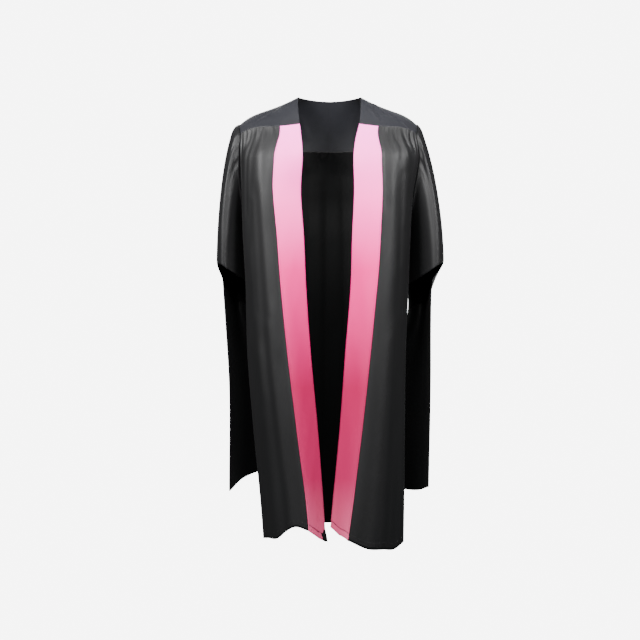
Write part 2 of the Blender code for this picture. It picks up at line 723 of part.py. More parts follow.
def build_gown():
    for old in list(bpy.data.objects):
        bpy.data.objects.remove(old)
    black = finish("black_cloth", BLACK_CLOTH, CLOTH_ROUGHNESS)
    charcoal = finish("yoke_cloth", YOKE_CLOTH, CLOTH_ROUGHNESS)
    pink = finish("pink_satin", PINK_SATIN, SATIN_ROUGHNESS)
    body_rows = range(len(UPPER_ROWS) + len(LOWER_ROWS))
    back_rows = [back_row(row) for row in body_rows]
    cloth_wall("back", back_rows, CLOTH, black)
    cloth_wall("yoke", yoke_rows(), CLOTH, charcoal)
    for side in SIDES:
        front_rows = [front_row(side, row) for row in body_rows]
        cloth_wall(f"front_{side}", front_rows, CLOTH, black)
        under_facing = [row[: FACING_COLUMNS + 1] for row in front_rows]
        facing_rows = shifted(under_facing, SEAM_GAP + FACING_CLOTH)
        cloth_wall(f"facing_{side}", facing_rows, FACING_CLOTH, pink)
        tube, end = sleeve_rows(side, front_rows, back_rows)
        cloth_wall(f"sleeve_{side}", tube + end, CLOTH, black, ring_rows=len(tube))
        cloth_wall(f"sleeve_end_{side}", pocket_rows(end), CLOTH, black)


build_gown()
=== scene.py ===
# %% [markdown]
# A graduation gown, open down the front, as it hangs when it is worn.
#
# The gown has a yoke, two fronts and a back gathered into it, two satin facings and two long
# closed sleeves. The CAD model is loaded first, as a frame that nothing here moves. Each cloth
# piece is then a fine sheet that stands for its CAD wall. All sizes are metres: +Z is up, the
# gown faces -Y, and +X is the wearer's left, which is the right of the picture.

# %% Load the frame
import functools
import math

import bmesh
import bpy
import numpy as np
from mathutils import Matrix, Vector


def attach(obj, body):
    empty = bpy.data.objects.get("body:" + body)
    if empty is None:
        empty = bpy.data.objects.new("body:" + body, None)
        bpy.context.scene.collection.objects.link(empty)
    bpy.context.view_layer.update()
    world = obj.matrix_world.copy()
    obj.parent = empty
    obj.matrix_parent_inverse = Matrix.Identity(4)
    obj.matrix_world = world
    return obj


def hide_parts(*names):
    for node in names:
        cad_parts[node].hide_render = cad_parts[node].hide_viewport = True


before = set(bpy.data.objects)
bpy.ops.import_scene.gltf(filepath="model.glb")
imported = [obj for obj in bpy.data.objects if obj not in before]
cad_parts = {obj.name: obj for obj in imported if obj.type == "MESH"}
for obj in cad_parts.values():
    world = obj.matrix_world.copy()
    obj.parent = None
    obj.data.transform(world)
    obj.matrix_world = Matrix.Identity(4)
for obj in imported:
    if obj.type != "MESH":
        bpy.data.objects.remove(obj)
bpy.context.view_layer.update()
print("CAD nodes:", ", ".join(sorted(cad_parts)))

# %% [markdown]
# Cloth is drawn here as a grid whose points are moved to where the sewn cloth hangs. That needs
# three small tools: a smooth step, a smooth curve through a few values, and a fold's profile. They
# take whole arrays of numbers, so that a sheet of forty thousand points is made in a moment.

# %% Small tools for smooth shapes
def ease(part):
    """A smooth step from 0 to 1."""
    part = np.clip(part, 0.0, 1.0)
    return part * part * (3.0 - 2.0 * part)


def curve_through(places, values, place):
    """A smooth curve through values at rising places, read at an array of places."""
    places = np.asarray(places, float)
    values = np.asarray(values, float)
    place = np.clip(np.asarray(place, float), places[0], places[-1])
    slopes = np.gradient(values, places, axis=0)
    k = np.clip(np.searchsorted(places, place) - 1, 0, len(places) - 2)
    step = places[k + 1] - places[k]
    t = (place - places[k]) / step
    more = (...,) + (None,) * (values.ndim - 1)
    t = t[more]
    step = step[more]
    return (
        (2 * t**3 - 3 * t**2 + 1) * values[k]
        + (t**3 - 2 * t**2 + t) * step * slopes[k]
        + (3 * t**2 - 2 * t**3) * values[k + 1]
        + (t**3 - t**2) * step * slopes[k + 1]
    )


def named(names, row):
    """A row of a table, or rows of arrays, under their names."""
    return dict(zip(names, row))


def unit(vectors):
    """The same directions with the length 1."""
    return vectors / np.linalg.norm(vectors, axis=-1, keepdims=True)


print("a smooth step half way:", float(ease(0.5)))

# %% [markdown]
# The gown's form is a stack of plans, one for each of ten heights. Each row gives half a plan:
# where the front edge lies, how far it has turned back, where the front folds round to the side,
# the side seam, the blade of the shoulder and the centre back. The fronts and the back are cut
# from these plans, so that they meet at the side seams without being fitted to each other.

# %% The gown's driving sizes
SIDES = {"right": -1.0, "left": 1.0}
CLOTH = 0.0016
FACING_CLOTH = 0.0013
SEAM_GAP = 0.0003
FACING_WIDTH = 0.075
UNDERARM_Z = -0.300
SIDE_HEM_Z = -1.150
CENTRE_HEM_Z = -1.128
ARMHOLE_FRONT = 1.05
ARMHOLE_BACK = 1.00
SEAM_BLEND = 0.34
SHELL = 0.0008

SECTION_NAMES = (
    "z", "open_r", "open_l", "front_y", "turn_r", "turn_l", "corner_r", "corner_l", "corner_y",
    "side_x", "side_y", "blade_x", "blade_y", "centre_y",
)
SECTIONS = (
    (-0.030, 0.081, 0.075, -0.074, 0.004, 0.004, 0.238, 0.233, -0.043, 0.212, 0.002, 0.215, 0.056, 0.098),
    (-0.065, 0.077, 0.067, -0.090, -0.004, -0.004, 0.241, 0.240, -0.046, 0.212, 0.003, 0.215, 0.062, 0.108),
    (-0.120, 0.073, 0.062, -0.107, -0.006, -0.010, 0.241, 0.239, -0.050, 0.210, 0.004, 0.213, 0.072, 0.124),
    (-0.220, 0.078, 0.063, -0.121, 0.018, -0.004, 0.237, 0.222, -0.056, 0.205, 0.005, 0.204, 0.080, 0.134),
    (-0.340, 0.070, 0.058, -0.129, 0.026, 0.008, 0.233, 0.214, -0.061, 0.200, 0.005, 0.192, 0.086, 0.130),
    (-0.460, 0.065, 0.055, -0.136, 0.035, 0.028, 0.226, 0.209, -0.063, 0.196, 0.005, 0.184, 0.090, 0.130),
    (-0.640, 0.053, 0.041, -0.143, 0.044, 0.036, 0.221, 0.201, -0.065, 0.192, 0.006, 0.178, 0.100, 0.140),
    (-0.860, 0.033, 0.025, -0.149, 0.052, 0.048, 0.203, 0.198, -0.067, 0.183, 0.010, 0.168, 0.112, 0.158),
    (-1.050, 0.019, 0.007, -0.152, 0.061, 0.054, 0.184, 0.197, -0.068, 0.170, 0.010, 0.158, 0.120, 0.172),
    (-1.190, 0.010, -0.006, -0.153, 0.062, 0.060, 0.173, 0.195, -0.068, 0.162, 0.010, 0.152, 0.126, 0.180),
)
FACING_EDGE, FRONT_FOLD, SIDE_SEAM, BLADE, CENTRE_BACK = 1, 3, 4, 5, 7
print("plans:", len(SECTIONS), "from", SECTIONS[0][0], "down to", SECTIONS[-1][0])

# %% [markdown]
# Between those ten heights a plan is read from smooth curves. A table of many plans, each with
# evenly spaced points, is worked out once for each side.

# %% Plans of the body at any height
PLAN_LOW = SECTIONS[-1][0]
PLAN_HIGH = SECTIONS[0][0]
PLAN_LEVELS = 240
PLAN_STEPS = 420


@functools.lru_cache(maxsize=None)
def plan_table(side):
    """Half plans at many heights: points, directions out, lengths and the stations' distances."""
    rows = np.array(SECTIONS)[::-1]
    heights = np.linspace(PLAN_LOW, PLAN_HIGH, PLAN_LEVELS)
    at = named(SECTION_NAMES, curve_through(rows[:, 0], rows, heights).T)
    open_x = at["open_r"] if side == "right" else at["open_l"]
    corner_x = at["corner_r"] if side == "right" else at["corner_l"]
    turn = at["turn_r"] if side == "right" else at["turn_l"]
    facing_x = open_x + np.sqrt(FACING_WIDTH**2 - turn**2)
    stations = np.array(
        [
            (open_x, at["front_y"] + turn),
            (facing_x, at["front_y"]),
            (0.5 * (facing_x + corner_x), 0.85 * at["front_y"] + 0.15 * at["corner_y"]),
            (corner_x, at["corner_y"]),
            (at["side_x"], at["side_y"]),
            (at["blade_x"], at["blade_y"]),
            (0.55 * at["blade_x"], 0.25 * at["blade_y"] + 0.75 * at["centre_y"]),
            (0.0 * open_x, at["centre_y"]),
        ]
    ).transpose(0, 2, 1)
    before = 2 * stations[:1] - stations[1:2]
    after = stations[-2:-1] * (-1.0, 1.0)
    knots = np.concatenate([before, stations, after])
    samples = 12
    count = (len(stations) - 1) * samples + 1
    curve = curve_through(range(len(knots)), knots, 1 + np.arange(count) / samples)
    curve = curve * (SIDES[side], 1.0)
    steps = np.linalg.norm(np.diff(curve, axis=0), axis=2)
    distances = np.vstack([np.zeros(PLAN_LEVELS), np.cumsum(steps, axis=0)])
    even = np.linspace(0.0, 1.0, PLAN_STEPS)
    points = np.array(
        [
            np.column_stack([np.interp(even * d[-1], d, c[:, axis]) for axis in (0, 1)])
            for d, c in zip(distances.T, curve.transpose(1, 0, 2))
        ]
    )
    along = np.gradient(points, axis=1)
    outs = -SIDES[side] * unit(np.stack([-along[..., 1], along[..., 0]], axis=-1))
    return points, outs, distances[-1], distances[::samples].T


def plan_level(z):
    """The table's level below each height, and the share of the way to the next one."""
    level = (np.asarray(z, float) - PLAN_LOW) / (PLAN_HIGH - PLAN_LOW) * (PLAN_LEVELS - 1)
    level = np.clip(level, 0, PLAN_LEVELS - 1.001)
    return level.astype(int), (level - level.astype(int))[..., None]


def stations_at(side, z):
    """The distances of the stations along the plan at these heights."""
    k, rise = plan_level(z)
    table = plan_table(side)[3]
    return table[k] * (1 - rise) + table[k + 1] * rise


def on_section(side, z, distance):
    """Points of the plan at these heights and distances, and the directions out of the cloth."""
    points, outs, lengths, _ = plan_table(side)
    k, rise = plan_level(z)

    def read(table, level):
        place = np.clip(distance / lengths[level], 0, 1) * (PLAN_STEPS - 1.001)
        j = place.astype(int)
        t = (place - j)[..., None]
        return table[level, j] * (1 - t) + table[level, j + 1] * t

    plan = read(points, k) * (1 - rise) + read(points, k + 1) * rise
    out = read(outs, k) * (1 - rise) + read(outs, k + 1) * rise
    return plan, out


print("half the hem's plan is", round(float(plan_table("right")[2][0]), 3), "m long")

# %% [markdown]
# The yoke lies over the shoulders. Its ribs run from the neck edge to the outer edge, from the
# front seam (rib 0) over the top of the shoulder to the centre back (rib 6). A rib swells a
# little, because cloth lies round a shoulder and is never flat.

# %% The yoke's ribs
YOKE_NAMES = (
    "neck_x", "neck_y", "neck_z", "edge_x", "edge_y", "edge_z", "swell_y", "swell_z",
)
YOKE_RIBS = (
    (0.0810, -0.0700, -0.0390, 0.2400, -0.0440, -0.0630, -0.012, 0.009),
    (0.0850, -0.0420, 0.0010, 0.2440, -0.0200, -0.0430, -0.006, 0.009),
    (0.0864, -0.0070, 0.0370, 0.2430, 0.0050, -0.0350, 0.000, 0.009),
    (0.0800, 0.0280, 0.0410, 0.2360, 0.0330, -0.0500, 0.003, 0.008),
    (0.0620, 0.0540, 0.0400, 0.2150, 0.0600, -0.0820, 0.008, 0.004),
    (0.0330, 0.0690, 0.0375, 0.1130, 0.1010, -0.0960, 0.010, 0.001),
    (0.0000, 0.0740, 0.0360, 0.0000, 0.1180, -0.1000, 0.011, 0.000),
)
YOKE_SWELL_POWER = 2.5
ARMHOLE_RIBS = 4
LAST_RIB = len(YOKE_RIBS) - 1
SHOULDER_SPREAD = {"right": 1.0, "left": 0.962}


def yoke_rib(side, rib, across):
    """Points of the yoke: rib 0 is the front seam and 6 the centre back, across 0 the neck edge."""
    rib, across = np.broadcast_arrays(np.asarray(rib, float), np.asarray(across, float))
    values = curve_through(range(len(YOKE_RIBS)), YOKE_RIBS, rib)
    at = named(YOKE_NAMES, np.moveaxis(values, -1, 0))
    x = (at["neck_x"] + (at["edge_x"] - at["neck_x"]) * across) * SHOULDER_SPREAD[side]
    y = at["neck_y"] + (at["edge_y"] - at["neck_y"]) * across
    z = at["neck_z"] + (at["edge_z"] - at["neck_z"]) * across
    y = y + at["swell_y"] * np.sin(np.pi * across)
    z = z + at["swell_z"] * np.sin(np.pi * across**YOKE_SWELL_POWER)
    return np.stack([x * SIDES[side], y, z], axis=-1)


def front_seam(side):
    """The seam of the yoke and a front, from the neck (0) to the armhole (1)."""
    return lambda place: yoke_rib(side, 0.0, place)


def back_seam(side):
    """The seam of the yoke and half the back, from the armhole (0) to the centre (1)."""
    return lambda place: yoke_rib(side, ARMHOLE_RIBS + 2.0 * place, 1.0)


def seam_out(curve, place):
    """The level directions out of the cloth along a seam."""
    step = 0.05
    along = curve(np.minimum(place + step, 1.0)) - curve(np.maximum(place - step, 0.0))
    out = unit(np.stack([along[..., 1], -along[..., 0], 0 * along[..., 0]], axis=-1))
    facing = np.sum(out * curve(place), axis=-1, keepdims=True)
    return np.where(facing >= 0, out, -out)


print("the yoke's outer edge is at x", YOKE_RIBS[2][3], "on the shoulder")

# %% [markdown]
# Folds are soft troughs and ridges. A row of the table says where a fold starts and ends, how wide
# it is and how deep. The long ones hang from the gathers down to the hem. The CAD model has
# these too, so the sheet stays on its wall's form, but real cloth lies softer: FOLD_SHARE is the
# part of the wall's fold that the sheet keeps.

# %% Folds of the fronts and the back
FOLD_NAMES = ("place_top", "place_low", "z_top", "z_low", "width", "depth")
FRONT_FOLDS = {
    "right": (
        (0.90, 0.92, -0.080, -0.26, 0.007, -0.0045),
        (0.52, 0.74, -0.060, -0.40, 0.012, -0.0055),
        (0.70, 0.55, -0.100, -0.80, 0.016, 0.0060),
        (0.42, 0.40, -0.200, -1.20, 0.016, -0.0070),
        (0.20, 0.18, -0.060, -0.55, 0.012, -0.0050),
        (0.58, 0.62, -0.620, -1.25, 0.018, 0.0080),
        (0.84, 0.84, -0.450, -1.25, 0.015, -0.0070),
        (0.16, 0.14, -0.640, -1.25, 0.014, -0.0060),
    ),
    "left": (
        (0.48, 0.42, -0.060, -0.17, 0.009, -0.0045),
        (0.08, 0.10, -0.060, -0.30, 0.010, -0.0040),
        (0.78, 0.80, -0.100, -0.28, 0.012, -0.0050),
        (0.36, 0.62, -0.130, -0.60, 0.015, -0.0065),
        (0.60, 0.45, -0.090, -0.48, 0.014, 0.0050),
        (0.22, 0.24, -0.230, -1.25, 0.015, -0.0065),
        (0.46, 0.50, -0.550, -1.25, 0.017, 0.0080),
        (0.78, 0.76, -0.560, -1.25, 0.017, -0.0070),
    ),
}
BACK_FOLDS = (
    (0.10, 0.08, -0.130, -1.25, 0.018, -0.0060),
    (0.19, 0.17, -0.110, -1.25, 0.020, 0.0080),
    (0.28, 0.26, -0.140, -1.25, 0.017, -0.0075),
    (0.36, 0.35, -0.110, -1.25, 0.019, 0.0085),
    (0.44, 0.44, -0.130, -1.25, 0.017, -0.0080),
    (0.52, 0.53, -0.120, -1.25, 0.020, 0.0085),
    (0.60, 0.62, -0.110, -1.25, 0.016, -0.0075),
    (0.69, 0.71, -0.130, -1.25, 0.020, 0.0085),
    (0.78, 0.80, -0.120, -1.25, 0.017, -0.0070),
    (0.87, 0.90, -0.140, -1.25, 0.018, 0.0065),
)
FOLD_FADE = 0.060
FOLD_START = 0.3
FOLD_SHARE = 0.26


def fold_depth(folds, place, length, z, fade_length=FOLD_FADE):
    """How far the folds move the cloth out, at places along a panel of this length."""
    total = 0.0
    for row in folds:
        fold = named(FOLD_NAMES, row)
        down = np.clip((z - fold["z_top"]) / (fold["z_low"] - fold["z_top"]), 0.0, 1.0)
        centre = fold["place_top"] + (fold["place_low"] - fold["place_top"]) * down
        away = (place - centre) * length / fold["width"]
        fade = ease((fold["z_top"] - z) / fade_length + FOLD_START)
        fade = fade * ease((z - fold["z_low"]) / fade_length)
        total = total + fold["depth"] * np.exp(-away * away) * fade
    return total


print("folds:", len(FRONT_FOLDS["right"]) + len(FRONT_FOLDS["left"]) + len(BACK_FOLDS))

# %% [markdown]
# Small creases come on top of the folds. Near the yoke seam the cloth is drawn up on a thread, and
# each gather starts as a sharp dent that dies away in a few centimetres. The tables place the
# ones that the picture shows, and give the back similar ones.

# %% Small creases
FRONT_CREASES = {
    "right": (
        (0.945, 0.950, -0.078, -0.230, 0.0030, -0.00180),
        (0.885, 0.915, -0.062, -0.125, 0.0038, 0.00096),
        (0.830, 0.870, -0.056, -0.092, 0.0036, -0.00120),
        (0.735, 0.790, -0.050, -0.112, 0.0044, -0.00144),
        (0.660, 0.760, -0.048, -0.300, 0.0065, -0.00156),
        (0.560, 0.590, -0.047, -0.088, 0.0040, 0.00084),
        (0.455, 0.470, -0.046, -0.080, 0.0036, -0.00084),
        (0.300, 0.330, -0.044, -0.120, 0.0050, -0.00132),
        (0.180, 0.170, -0.044, -0.074, 0.0034, 0.00072),
        (0.080, 0.090, -0.044, -0.088, 0.0036, -0.00096),
        (0.620, 0.600, -0.240, -0.560, 0.0100, -0.00108),
        (0.330, 0.300, -0.560, -1.25, 0.0130, 0.00120),
    ),
    "left": (
        (0.400, 0.430, -0.048, -0.096, 0.0038, -0.00168),
        (0.250, 0.265, -0.046, -0.130, 0.0048, -0.00120),
        (0.120, 0.110, -0.046, -0.084, 0.0034, 0.00072),
        (0.560, 0.640, -0.050, -0.142, 0.0052, 0.00108),
        (0.655, 0.740, -0.056, -0.118, 0.0040, -0.00144),
        (0.815, 0.850, -0.060, -0.112, 0.0036, -0.00144),
        (0.900, 0.915, -0.066, -0.130, 0.0034, 0.00108),
        (0.955, 0.950, -0.072, -0.220, 0.0034, -0.00168),
        (0.500, 0.560, -0.160, -0.430, 0.0090, -0.00144),
        (0.700, 0.660, -0.170, -0.330, 0.0090, 0.00108),
        (0.640, 0.620, -0.560, -1.25, 0.0120, -0.00108),
        (0.340, 0.360, -0.600, -1.25, 0.0140, 0.00120),
    ),
}
BACK_CREASES = (
    (0.060, 0.055, -0.260, -0.90, 0.0120, 0.00120),
    (0.145, 0.125, -0.130, -0.70, 0.0110, 0.00120),
    (0.235, 0.220, -0.120, -1.25, 0.0120, -0.00132),
    (0.320, 0.305, -0.115, -0.60, 0.0100, 0.00120),
    (0.400, 0.390, -0.112, -0.90, 0.0110, -0.00132),
    (0.485, 0.470, -0.112, -1.25, 0.0120, 0.00120),
    (0.560, 0.585, -0.112, -0.75, 0.0100, -0.00132),
    (0.650, 0.665, -0.115, -1.25, 0.0120, 0.00120),
    (0.735, 0.760, -0.120, -0.65, 0.0110, -0.00120),
    (0.830, 0.850, -0.125, -1.25, 0.0120, 0.00132),
    (0.930, 0.945, -0.240, -0.95, 0.0120, -0.00108),
)
CREASE_FADE = 0.028

FRONT_GATHERS = 9
BACK_GATHERS = 22
GATHER_DEPTH = 0.0005
BACK_GATHER_DEPTH = 0.0012
GATHER_FADE = 0.030
PUCKER_RATE = 2.3
PUCKER_DEPTH = 0.0004
PUCKER_FADE = 0.012
ALLOWANCE_IN = 0.0009


def gather(count, part, drop, depth, fade=GATHER_FADE):
    """The small waves of cloth drawn up into a seam, uneven, and gone a little below it."""
    phase = 2 * np.pi * (count * part + 0.22 * np.sin(5.0 * part + 1.0))
    height = 0.6 + 0.25 * np.sin(17.0 * part) + 0.15 * np.sin(41.0 * part + 2.0)
    return depth * height * np.cos(phase) * np.exp(-drop / fade)


def puckers(count, part, drop):
    """The finest waves right under the seam's stitches."""
    uneven = 0.6 + 0.4 * np.sin(29.0 * part + 0.7)
    return uneven * gather(PUCKER_RATE * count, part, drop, PUCKER_DEPTH, PUCKER_FADE)


print("creases:", sum(len(rows) for rows in FRONT_CREASES.values()) + len(BACK_CREASES))

# %% [markdown]
# A front is one cut piece from the yoke seam to the hem. Its place across runs from the open edge
# (0) over the facing's edge (1) to the armhole and side seam (2). Its place down runs from the yoke
# seam (0) past the underarm (1) to the hem (2).

# %% The fronts' surface
FACING_PLACE = 0.455
FACING_SEAM_PLACE = 0.33
FACING_FADE = 0.08
SIDE_FADE = 0.06
FRONT_HEMS = {
    "right": (
        (0.0, -1.150), (0.25, -1.133), (FACING_PLACE, -1.114), (0.53, -1.104), (0.60, -1.117),
        (0.66, -1.136), (0.76, -1.140), (1.0, SIDE_HEM_Z),
    ),
    "left": (
        (0.0, -1.110), (0.22, -1.125), (FACING_PLACE, -1.140), (0.57, -1.163), (0.66, -1.166),
        (0.745, -1.168), (0.80, -1.156), (1.0, SIDE_HEM_Z),
    ),
}


def armhole_reach(reach, part):
    """How far the armhole's edge lies from the side seam, part of the way down to the underarm."""
    return reach * np.sqrt(np.maximum(1 - part**3, 0.0))


def panel_height(top, hem, down):
    """Heights down a panel: seam at 0, underarm at 1, hem at 2."""
    upper = top + (UNDERARM_Z - top) * np.clip(down, 0.0, 1.0)
    return upper + (hem - UNDERARM_Z) * np.clip(down - 1.0, 0.0, 1.0)


def panel_point(side, seam, place, z, distance, part):
    """Points before their folds: on the section, drawn to the yoke seam near the top."""
    plan, out = on_section(side, z, distance)
    near_seam = (1 - ease(part / SEAM_BLEND))[..., None]
    top = seam(place)
    top_plan, _ = on_section(side, top[..., 2] - SEAM_GAP, distance)
    plan = plan + (top[..., :2] - top_plan) * near_seam
    out = out + (seam_out(seam, place)[..., :2] - out) * near_seam
    points = np.concatenate([plan, z[..., None]], axis=-1)
    outs = unit(np.concatenate([out, 0 * z[..., None]], axis=-1))
    return points, outs


def front_sheet(side, across, down):
    """Points of a front's outer face, and the directions out of it."""
    across, down = np.broadcast_arrays(across, down)
    seam = front_seam(side)
    part = np.clip(down, 0.0, 1.0)
    facing_part = np.clip(across, 0.0, 1.0)
    beyond = np.clip(across - 1.0, 0.0, 1.0)
    place = FACING_PLACE * facing_part + (1 - FACING_PLACE) * beyond
    seam_place = FACING_SEAM_PLACE * facing_part + (1 - FACING_SEAM_PLACE) * beyond
    top = seam(seam_place)[..., 2] - SEAM_GAP
    hem_places, hem_heights = zip(*FRONT_HEMS[side])
    hem = curve_through(hem_places, hem_heights, place)
    z = panel_height(top, hem, down)
    stations = stations_at(side, z)
    facing = stations[..., FACING_EDGE]
    fold_at = stations[..., FRONT_FOLD]
    side_at = stations[..., SIDE_SEAM]
    reach = (side_at - fold_at) * ARMHOLE_FRONT
    edge = side_at - SEAM_GAP / 2 - armhole_reach(reach, part)
    distance = facing * facing_part + (edge - facing) * beyond
    points, outs = panel_point(side, seam, seam_place, z, distance, part)
    length = fold_at - facing
    along = (distance - facing) / length
    depth = FOLD_SHARE * fold_depth(FRONT_FOLDS[side], along, length, z)
    depth = depth + fold_depth(FRONT_CREASES[side], along, length, z, CREASE_FADE)
    depth = depth + gather(FRONT_GATHERS, beyond, top - z, GATHER_DEPTH)
    depth = depth + puckers(FRONT_GATHERS, beyond, top - z)
    depth = depth * ease(beyond / FACING_FADE) * ease((1 - beyond) / SIDE_FADE)
    return points + outs * depth[..., None], outs


edge_point = front_sheet("right", np.array([0.0]), np.array([0.0]))[0][0]
print("the right front's inner corner:", edge_point.round(4))

# %% [markdown]
# The back is one wide piece. It is worked out as two halves from the side seam to the centre back,
# which share their middle line, and its folds run across both.

# %% The back's surface
BACK_SIDE_FADE = 0.10


def back_half(side, inwards, down):
    """Points of half the back's outer face, from its side seam (0) to the centre (1)."""
    inwards, down = np.broadcast_arrays(inwards, down)
    seam = back_seam(side)
    part = np.clip(down, 0.0, 1.0)
    top = seam(inwards)[..., 2] - SEAM_GAP
    hem = SIDE_HEM_Z + (CENTRE_HEM_Z - SIDE_HEM_Z) * ease(inwards)
    z = panel_height(top, hem, down)
    stations = stations_at(side, z)
    side_at = stations[..., SIDE_SEAM]
    centre_at = stations[..., CENTRE_BACK]
    reach = (stations[..., BLADE] - side_at) * ARMHOLE_BACK
    edge = side_at + SEAM_GAP / 2 + armhole_reach(reach, part)
    distance = edge + (centre_at - edge) * inwards
    points, outs = panel_point(side, seam, inwards, z, distance, part)
    length = centre_at - side_at
    along = 0.5 * (distance - side_at) / length
    along = along if side == "right" else 1 - along
    place = 0.5 * inwards if side == "right" else 1 - 0.5 * inwards
    depth = FOLD_SHARE * fold_depth(BACK_FOLDS, along, 2 * length, z)
    depth = depth + fold_depth(BACK_CREASES, along, 2 * length, z, CREASE_FADE)
    depth = depth + gather(BACK_GATHERS, place, top - z, BACK_GATHER_DEPTH)
    depth = depth + puckers(BACK_GATHERS, place, top - z)
    depth = depth * ease(inwards / BACK_SIDE_FADE)
    return points + outs * depth[..., None], outs


def back_sheet(columns, down):
    """The whole back, from the wearer's right side seam to the left one."""
    half = np.linspace(0.0, 1.0, columns // 2 + 1)[None, :]
    right = back_half("right", half, down)
    left = back_half("left", half[:, -2::-1], down)
    return tuple(np.concatenate([r, l], axis=1) for r, l in zip(right, left))


print("centre back at the seam:", back_half("right", np.array([1.0]), np.array([0.0]))[0].round(4))

# %% [markdown]
# A sleeve is a tube that is gathered into the armhole and swings out over the arm. It stands on
# the armhole's own edge: up the front, over the yoke and down the back. At the elbow its front
# half ends in a slanting edge, where the arm comes out, and its back half goes on down as the long
# closed end.

# %% The armhole's edge
UPPER_ROWS = (0.0, 0.03, 0.08, 0.16, 0.28, 0.42, 0.58, 0.74, 0.87, 0.95)
RIB_STEP = 0.5


def yoke_outs(side, rib, across):
    """The directions out of the yoke, level along its front and back seams."""
    rib, across = np.broadcast_arrays(np.asarray(rib, float), np.asarray(across, float))
    step = 0.02
    ahead = yoke_rib(side, np.minimum(rib + step, LAST_RIB), across)
    behind = yoke_rib(side, np.maximum(rib - step, 0.0), across)
    outer = yoke_rib(side, rib, np.minimum(across + step, 1.0))
    inner = yoke_rib(side, rib, np.maximum(across - step, 0.0))
    outs = unit(np.cross(ahead - behind, outer - inner))
    centre = np.array([0.0, 0.0, -0.15])
    facing = np.sum(outs * (yoke_rib(side, rib, across) - centre), axis=-1, keepdims=True)
    return np.where(facing >= 0, outs, -outs)


def armhole_loop(side):
    """The armhole's edge from the underarm up the front, over the shoulder and down the back."""
    parts = np.array(UPPER_ROWS[1:])
    one = np.array([1.0])
    front, front_outs = front_sheet(side, np.array([2.0]), parts)
    back, back_outs = back_half(side, np.array([0.0]), parts)
    under_front, under_outs = front_sheet(side, 2 * one, one)
    under_back, _ = back_half(side, 0 * one, one)
    under = 0.5 * (under_front + under_back)
    ribs = np.arange(0.0, ARMHOLE_RIBS + RIB_STEP, RIB_STEP)
    yoke = yoke_rib(side, ribs, 1.0)
    outs = yoke_outs(side, ribs, 1.0)
    outs[0] = seam_out(front_seam(side), one)[0]
    outs[-1] = seam_out(back_seam(side), 0 * one)[0]
    loop = np.concatenate([under, front[::-1], yoke, back, under])
    loop_outs = np.concatenate([under_outs, front_outs[::-1], outs, back_outs, under_outs])
    shoulder_top = len(parts) + 1 + int(2 / RIB_STEP)
    return loop, loop_outs, shoulder_top


print("armhole edge points:", len(armhole_loop("right")[0]))

# %% [markdown]
# The sleeve's sizes are tables too: the ring of the arm opening's edge, the folds and creases by
# their place round the tube, and the long end's plans from the elbow down to its bottom.

# %% Sizes of the sleeves
ELBOW_NAMES = ("x_r", "x_l", "y")
ELBOW_RING = (
    (0.2220, 0.2130, 0.030),
    (0.2520, 0.2430, -0.032),
    (0.2740, 0.2700, -0.082),
    (0.2950, 0.2950, -0.078),
    (0.3050, 0.3060, -0.020),
    (0.2930, 0.2930, 0.070),
    (0.2600, 0.2600, 0.122),
    (0.2280, 0.2240, 0.104),
)
ELBOW_OUTER_X = 0.306
ELBOW_OUTER_Z = -0.404
ELBOW_SLANT = 0.66
SWING_POWER = 0.45
SWING_START = 1.7
OUTER_SWING_POWER = {"right": 0.52, "left": 0.74}
HEAD_LIFT = 0.006
HEAD_LIFT_PLACE = 0.03
FLAT_PUFF = 0.25
HEAD_GATHERS = 14
HEAD_GATHER_DEPTH = 0.0016
HEAD_GATHER_SPREAD = 1.6
HEAD_GATHER_PLACES = (0.22, 0.78)
HEAD_GATHER_FADE = 0.10
HEAD_SEAM_FADE = 0.012
SLEEVE_LENGTH = 0.4
SLEEVE_FOLD_FADES = (0.08, 0.30)
SLEEVE_FOLD_NAMES = ("place", "start", "end", "width", "depth")
SLEEVE_FOLDS = (
    (0.30, 0.00, 0.80, 0.030, -0.0060),
    (0.37, 0.02, 0.95, 0.026, 0.0055),
    (0.43, 0.00, 0.60, 0.022, -0.0055),
    (0.57, 0.00, 0.70, 0.026, -0.0050),
    (0.65, 0.02, 0.95, 0.030, 0.0055),
    (0.73, 0.00, 0.85, 0.028, -0.0055),
)
SLEEVE_CREASES = (
    (0.265, 0.00, 0.34, 0.012, -0.0009),
    (0.335, 0.00, 0.30, 0.011, 0.0008),
    (0.385, 0.00, 0.42, 0.010, -0.0015),
    (0.430, 0.00, 0.30, 0.009, 0.0009),
    (0.520, 0.00, 0.32, 0.012, -0.0009),
    (0.605, 0.00, 0.30, 0.012, 0.0009),
    (0.690, 0.00, 0.38, 0.012, -0.0010),
)
END_NAMES = (
    "part", "outer_r", "outer_l", "outer_y", "middle_x", "middle_y", "inner_x", "inner_y",
)
END_SECTIONS = (
    (0.00, 0.2930, 0.2800, -0.008, 0.2790, 0.090, 0.2200, 0.066),
    (0.13, 0.2880, 0.2745, -0.004, 0.2660, 0.096, 0.2100, 0.094),
    (0.28, 0.2820, 0.2730, 0.000, 0.2550, 0.100, 0.1970, 0.126),
    (0.50, 0.2735, 0.2727, 0.000, 0.2450, 0.101, 0.1800, 0.156),
    (1.00, 0.2725, 0.2670, 0.000, 0.2360, 0.098, 0.1620, 0.182),
)
END_BLEND = 0.34
OUTER_BLEND_SHARE = 0.25
END_BOTTOMS = {"right": (-1.023, -0.994, -0.972), "left": (-1.012, -1.030, -1.028)}
END_MOUTH = 0.11
END_LOOSE = 0.0022
print("sleeve folds and creases:", len(SLEEVE_FOLDS) + len(SLEEVE_CREASES))


# %% [markdown]
# The tube's points run straight from the armhole to the elbow's edge, but they swing out before
# they drop, so the sleeve's head stands out over the arm. The long end hangs from the back half of
# the same edge, so the two are one piece of cloth.

